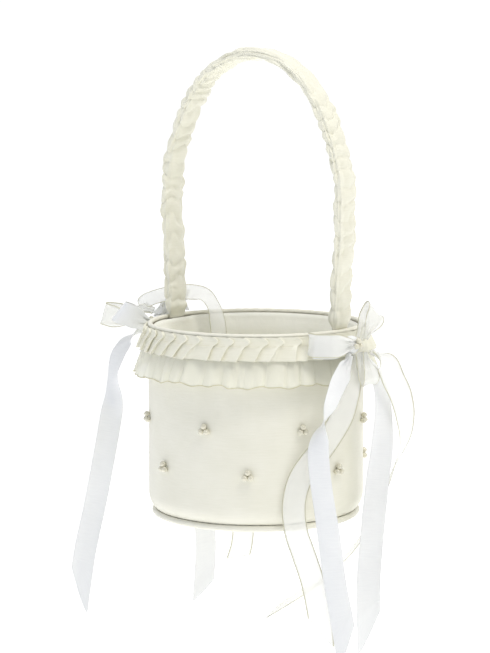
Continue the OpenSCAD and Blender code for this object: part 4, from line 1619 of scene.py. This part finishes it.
RIGHT_TAILS = (
    Strand("right_tail_front", Cloth.SATIN, (
        (-9, 14.5, 120, 88, -50), (-12, 17, 114, 88, -35), (-15.5, 20, 109.5, 86, -20),
        (-19, 22.3, 104.5, 84, -8),
        (-21.5, 23.5, 98, 82, 0), (-23.5, 22.5, 88, 90, 0), (-25.5, 21, 77, 125, 0),
        (-27, 20, 66, 170, 0), (-27.5, 19.5, 54, 187, 0), (-26, 20.5, 30, 190, 0),
        (-23.5, 22, 2, 193, 0), (-21, 23, -30, 198, 0), (-18.5, 26, -58, 203, 0),
        (-16, 29, -90, 205, 0)), False, RibbonEnd.SLANT_OUT, 1.2,
        ("right_satin_front_tail",), seed=11.0),
    Strand("right_tail_side", Cloth.SATIN, (
        (-1, 14.5, 119, 100, -30), (3, 15.5, 113, 100, -15), (5, 17, 108, 100, -8),
        (7, 19, 101.5, 98, 0), (8, 21.5, 91.5, 92, 0), (7.4, 23.5, 76, 78, 0),
        (6, 24, 53, 55, 0), (4.9, 22, 31, 43, 0), (3.6, 19.1, -9, 37, 0),
        (2.6, 17.7, -45, 36, 0), (3.1, 18.5, -89, 39, 0)), False, RibbonEnd.SLANT_IN, 0.9,
        ("right_satin_side_tail",), seed=12.0),
    Strand("right_tail_veil_out", Cloth.ORGANZA, (
        (-1, 23, 121.5, 70, -40), (2.5, 29.5, 115, 60, -20), (4.5, 31, 109, 57, -10),
        (6.5, 32, 102, 55, -5), (10.5, 34, 90, 60, 0), (13.8, 35, 74, 72, 0),
        (15, 33.5, 57, 92, 0), (14.5, 25, 34, 122, 0), (13, 20.5, 20, 127, 0),
        (11, 12.5, 2, 127, 0), (7, 0.5, -19, 127, 0), (-2, -14, -38, 127, 0),
        (-14, -26, -49, 126, 4), (-44, -37, -64, 122, 8)), False, RibbonEnd.SLANT_IN, 1.0,
        ("right_organza_outer_tail",), seed=13.0),
    Strand("right_tail_veil_in", Cloth.ORGANZA, (
        (-7, 14, 120, 70, -30), (-7, 13.5, 113.5, 70, -5), (-9, 15.5, 104, 60, 0),
        (-12, 17.5, 92, 50, 0), (-15, 16.5, 78, 46, 0), (-21, 12, 61, 44, 0),
        (-27.5, 8.5, 48, 38, 0), (-32.5, 6.5, 36, 30, 0), (-35, 6, 20, 28, 0),
        (-34, 6.5, 2, 32, 0), (-30.5, 8, -14, 38, 0), (-27, 10.5, -32, 44, 0),
        (-24.5, 13, -54, 44, 0), (-23, 14, -78, 40, 0)), False, RibbonEnd.SLANT_OUT, 0.8,
        ("right_organza_inner_tail",), seed=14.0),
    Strand("right_loop_drop", Cloth.ORGANZA, (
        (-5, 18, 121, 87, 0), (-4.5, 19.5, 115, 87, 0), (-3.5, 20, 109, 87, 0),
        (-3, 21, 103.5, 87, 0), (-2.7, 22.8, 99.5, 87, 0), (-2.5, 25, 103, 87, 0),
        (-3.3, 24.8, 109, 87, 0), (-4, 22.5, 114.5, 87, 0), (-4.5, 20.5, 121, 87, 0)), True,
        replaces=("right_drop_loop",), seed=15.0),
)


# ------------------------------------------------------------------ studio


@dataclass
class Studio:
    """A plain pale floor, soft studio light and the camera."""

    datum: Datum
    distance: float = 1.618
    azimuth: float = 37.0
    pitch: float = 7.23
    height: float = 0.336
    lens: float = 129.3
    aside: float = 7.7 * MM

    def camera(self) -> None:
        """Sets the camera a little above the handle's crest, looking slightly down."""
        turn = math.radians(self.azimuth)
        away = Vector((-math.sin(turn), math.cos(turn), 0))
        right = Vector((math.cos(turn), math.sin(turn), 0))
        data = bpy.data.cameras.new("camera")
        data.lens = self.lens
        data.sensor_width = 36.0
        data.clip_end = 60.0
        camera = bpy.data.objects.new("camera", data)
        place = -away * self.distance - right * self.aside
        camera.location = (place.x, place.y, self.datum.under + self.height)
        camera.rotation_euler = (math.radians(90 - self.pitch), 0, turn)
        bpy.context.scene.collection.objects.link(camera)
        bpy.context.scene.camera = camera

    def softbox(
        self, name: str, azimuth: float, rise: float, far: float, size: float, power: float,
        colour: str
    ) -> None:
        """Hangs a square soft light that faces the basket.

        Args:
            name: The light's name.
            azimuth: Bearing of the light from the camera's own, in degrees to the right.
            rise: Height of the light over the basket, in degrees.
            far: Distance from the basket, in metres.
            size: Side of the light, in metres.
            power: Power in watts.
            colour: Its sRGB hex colour.
        """
        turn = math.radians(self.azimuth - 90 + azimuth)
        up = math.radians(rise)
        target = Vector((0, 0, self.datum.under + 0.12))
        away = Vector((math.cos(turn) * math.cos(up), math.sin(turn) * math.cos(up), math.sin(up)))
        data = bpy.data.lights.new(name, "AREA")
        data.energy = power
        data.size = size
        data.color = linear(colour)[:3]
        light = bpy.data.objects.new(name, data)
        light.location = target + away * far
        light.rotation_euler = away.to_track_quat("Z", "Y").to_euler()
        bpy.context.scene.collection.objects.link(light)

    def world(self) -> None:
        """Fills the room with even light, brighter behind the basket than in front."""
        world = bpy.data.worlds.new("studio")
        bpy.context.scene.world = world
        world.use_nodes = True
        tree = world.node_tree
        tree.nodes.clear()
        turn = math.radians(self.azimuth)
        place = add(tree, "ShaderNodeTexCoord").outputs["Generated"]
        lean = add(tree, "ShaderNodeVectorMath",
                   {0: place, 1: (-math.sin(turn) + 0.35 * math.cos(turn),
                                  math.cos(turn) + 0.35 * math.sin(turn), 0.25)},
                   operation="DOT_PRODUCT")
        level = add(tree, "ShaderNodeMapRange", {"Value": lean.outputs["Value"], "From Min": -1.0,
                                                 "From Max": 1.0, "To Min": 0.24, "To Max": 1.05})
        cool = add(tree, "ShaderNodeMix", {"Factor": level.outputs["Result"], "A": linear("EEF2FF"),
                                           "B": linear("FFFFFF")}, data_type="RGBA")
        back = add(tree, "ShaderNodeBackground", {"Color": cool.outputs["Result"],
                                                  "Strength": level.outputs["Result"]})
        add(tree, "ShaderNodeOutputWorld", {"Surface": back.outputs["Background"]})

    def floor(self) -> None:
        """Lays a pale floor well below the ribbons' tips."""
        floor = shape("floor", bpy.ops.mesh.primitive_plane_add, size=14.0,
                      location=(0, 0, self.datum.under - 0.3))
        material, _, shader = blank("pale studio floor")
        plug(shader, {"Base Color": linear("F7F7F5"), "Roughness": 0.9,
                      "Emission Color": linear("FFFFFF"), "Emission Strength": 0.5})
        dress(floor, material)

    def build(self) -> None:
        """Sets the view transform, the world, the lights and the floor."""
        bpy.context.scene.view_settings.view_transform = "Standard"
        self.world()
        self.softbox("key", 38, 56, 2.0, 0.6, 12.0, "FFFBF3")
        self.softbox("fill", -55, 8, 2.4, 1.2, 4.4, "CFDDFF")
        self.softbox("top", -20, 80, 1.8, 0.6, 8.0, "FFFFFF")
        self.floor()


@dataclass
class HiddenPieces:
    """The CAD pieces that keep their own shape, inside the cloth."""

    finishes: Finishes

    def dress_all(self) -> None:
        """Gives each kept CAD node the material of what it is made of."""
        kept = {
            "tub_wall": self.finishes.board,
            "tub_floor": self.finishes.board,
            "base_board": self.finishes.board,
            "handle_core": self.finishes.strip,
            "handle_rivets": self.finishes.steel,
        }
        for name, material in kept.items():
            dress(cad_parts[name], material)


def main() -> None:
    """Builds the studio, the basket and its trimmings."""
    logging.basicConfig(level=logging.INFO, format="%(message)s")
    datum = Datum.from_frame()
    studio = Studio(datum)
    studio.camera()
    finishes = Finishes.make()
    HiddenPieces(finishes).dress_all()
    Tub(datum, finishes).build()
    Ruffle(datum, finishes).build()
    Handle(datum, finishes).build()
    for side, loops, tails in (("left", LEFT_LOOPS, LEFT_TAILS), ("right", RIGHT_LOOPS, RIGHT_TAILS)):
        Bow(side, datum, finishes, BOW_BEARINGS[side], loops, tails).build()
    Pearls(datum, finishes).build()
    studio.build()


if __name__ == "__main__":
    main()
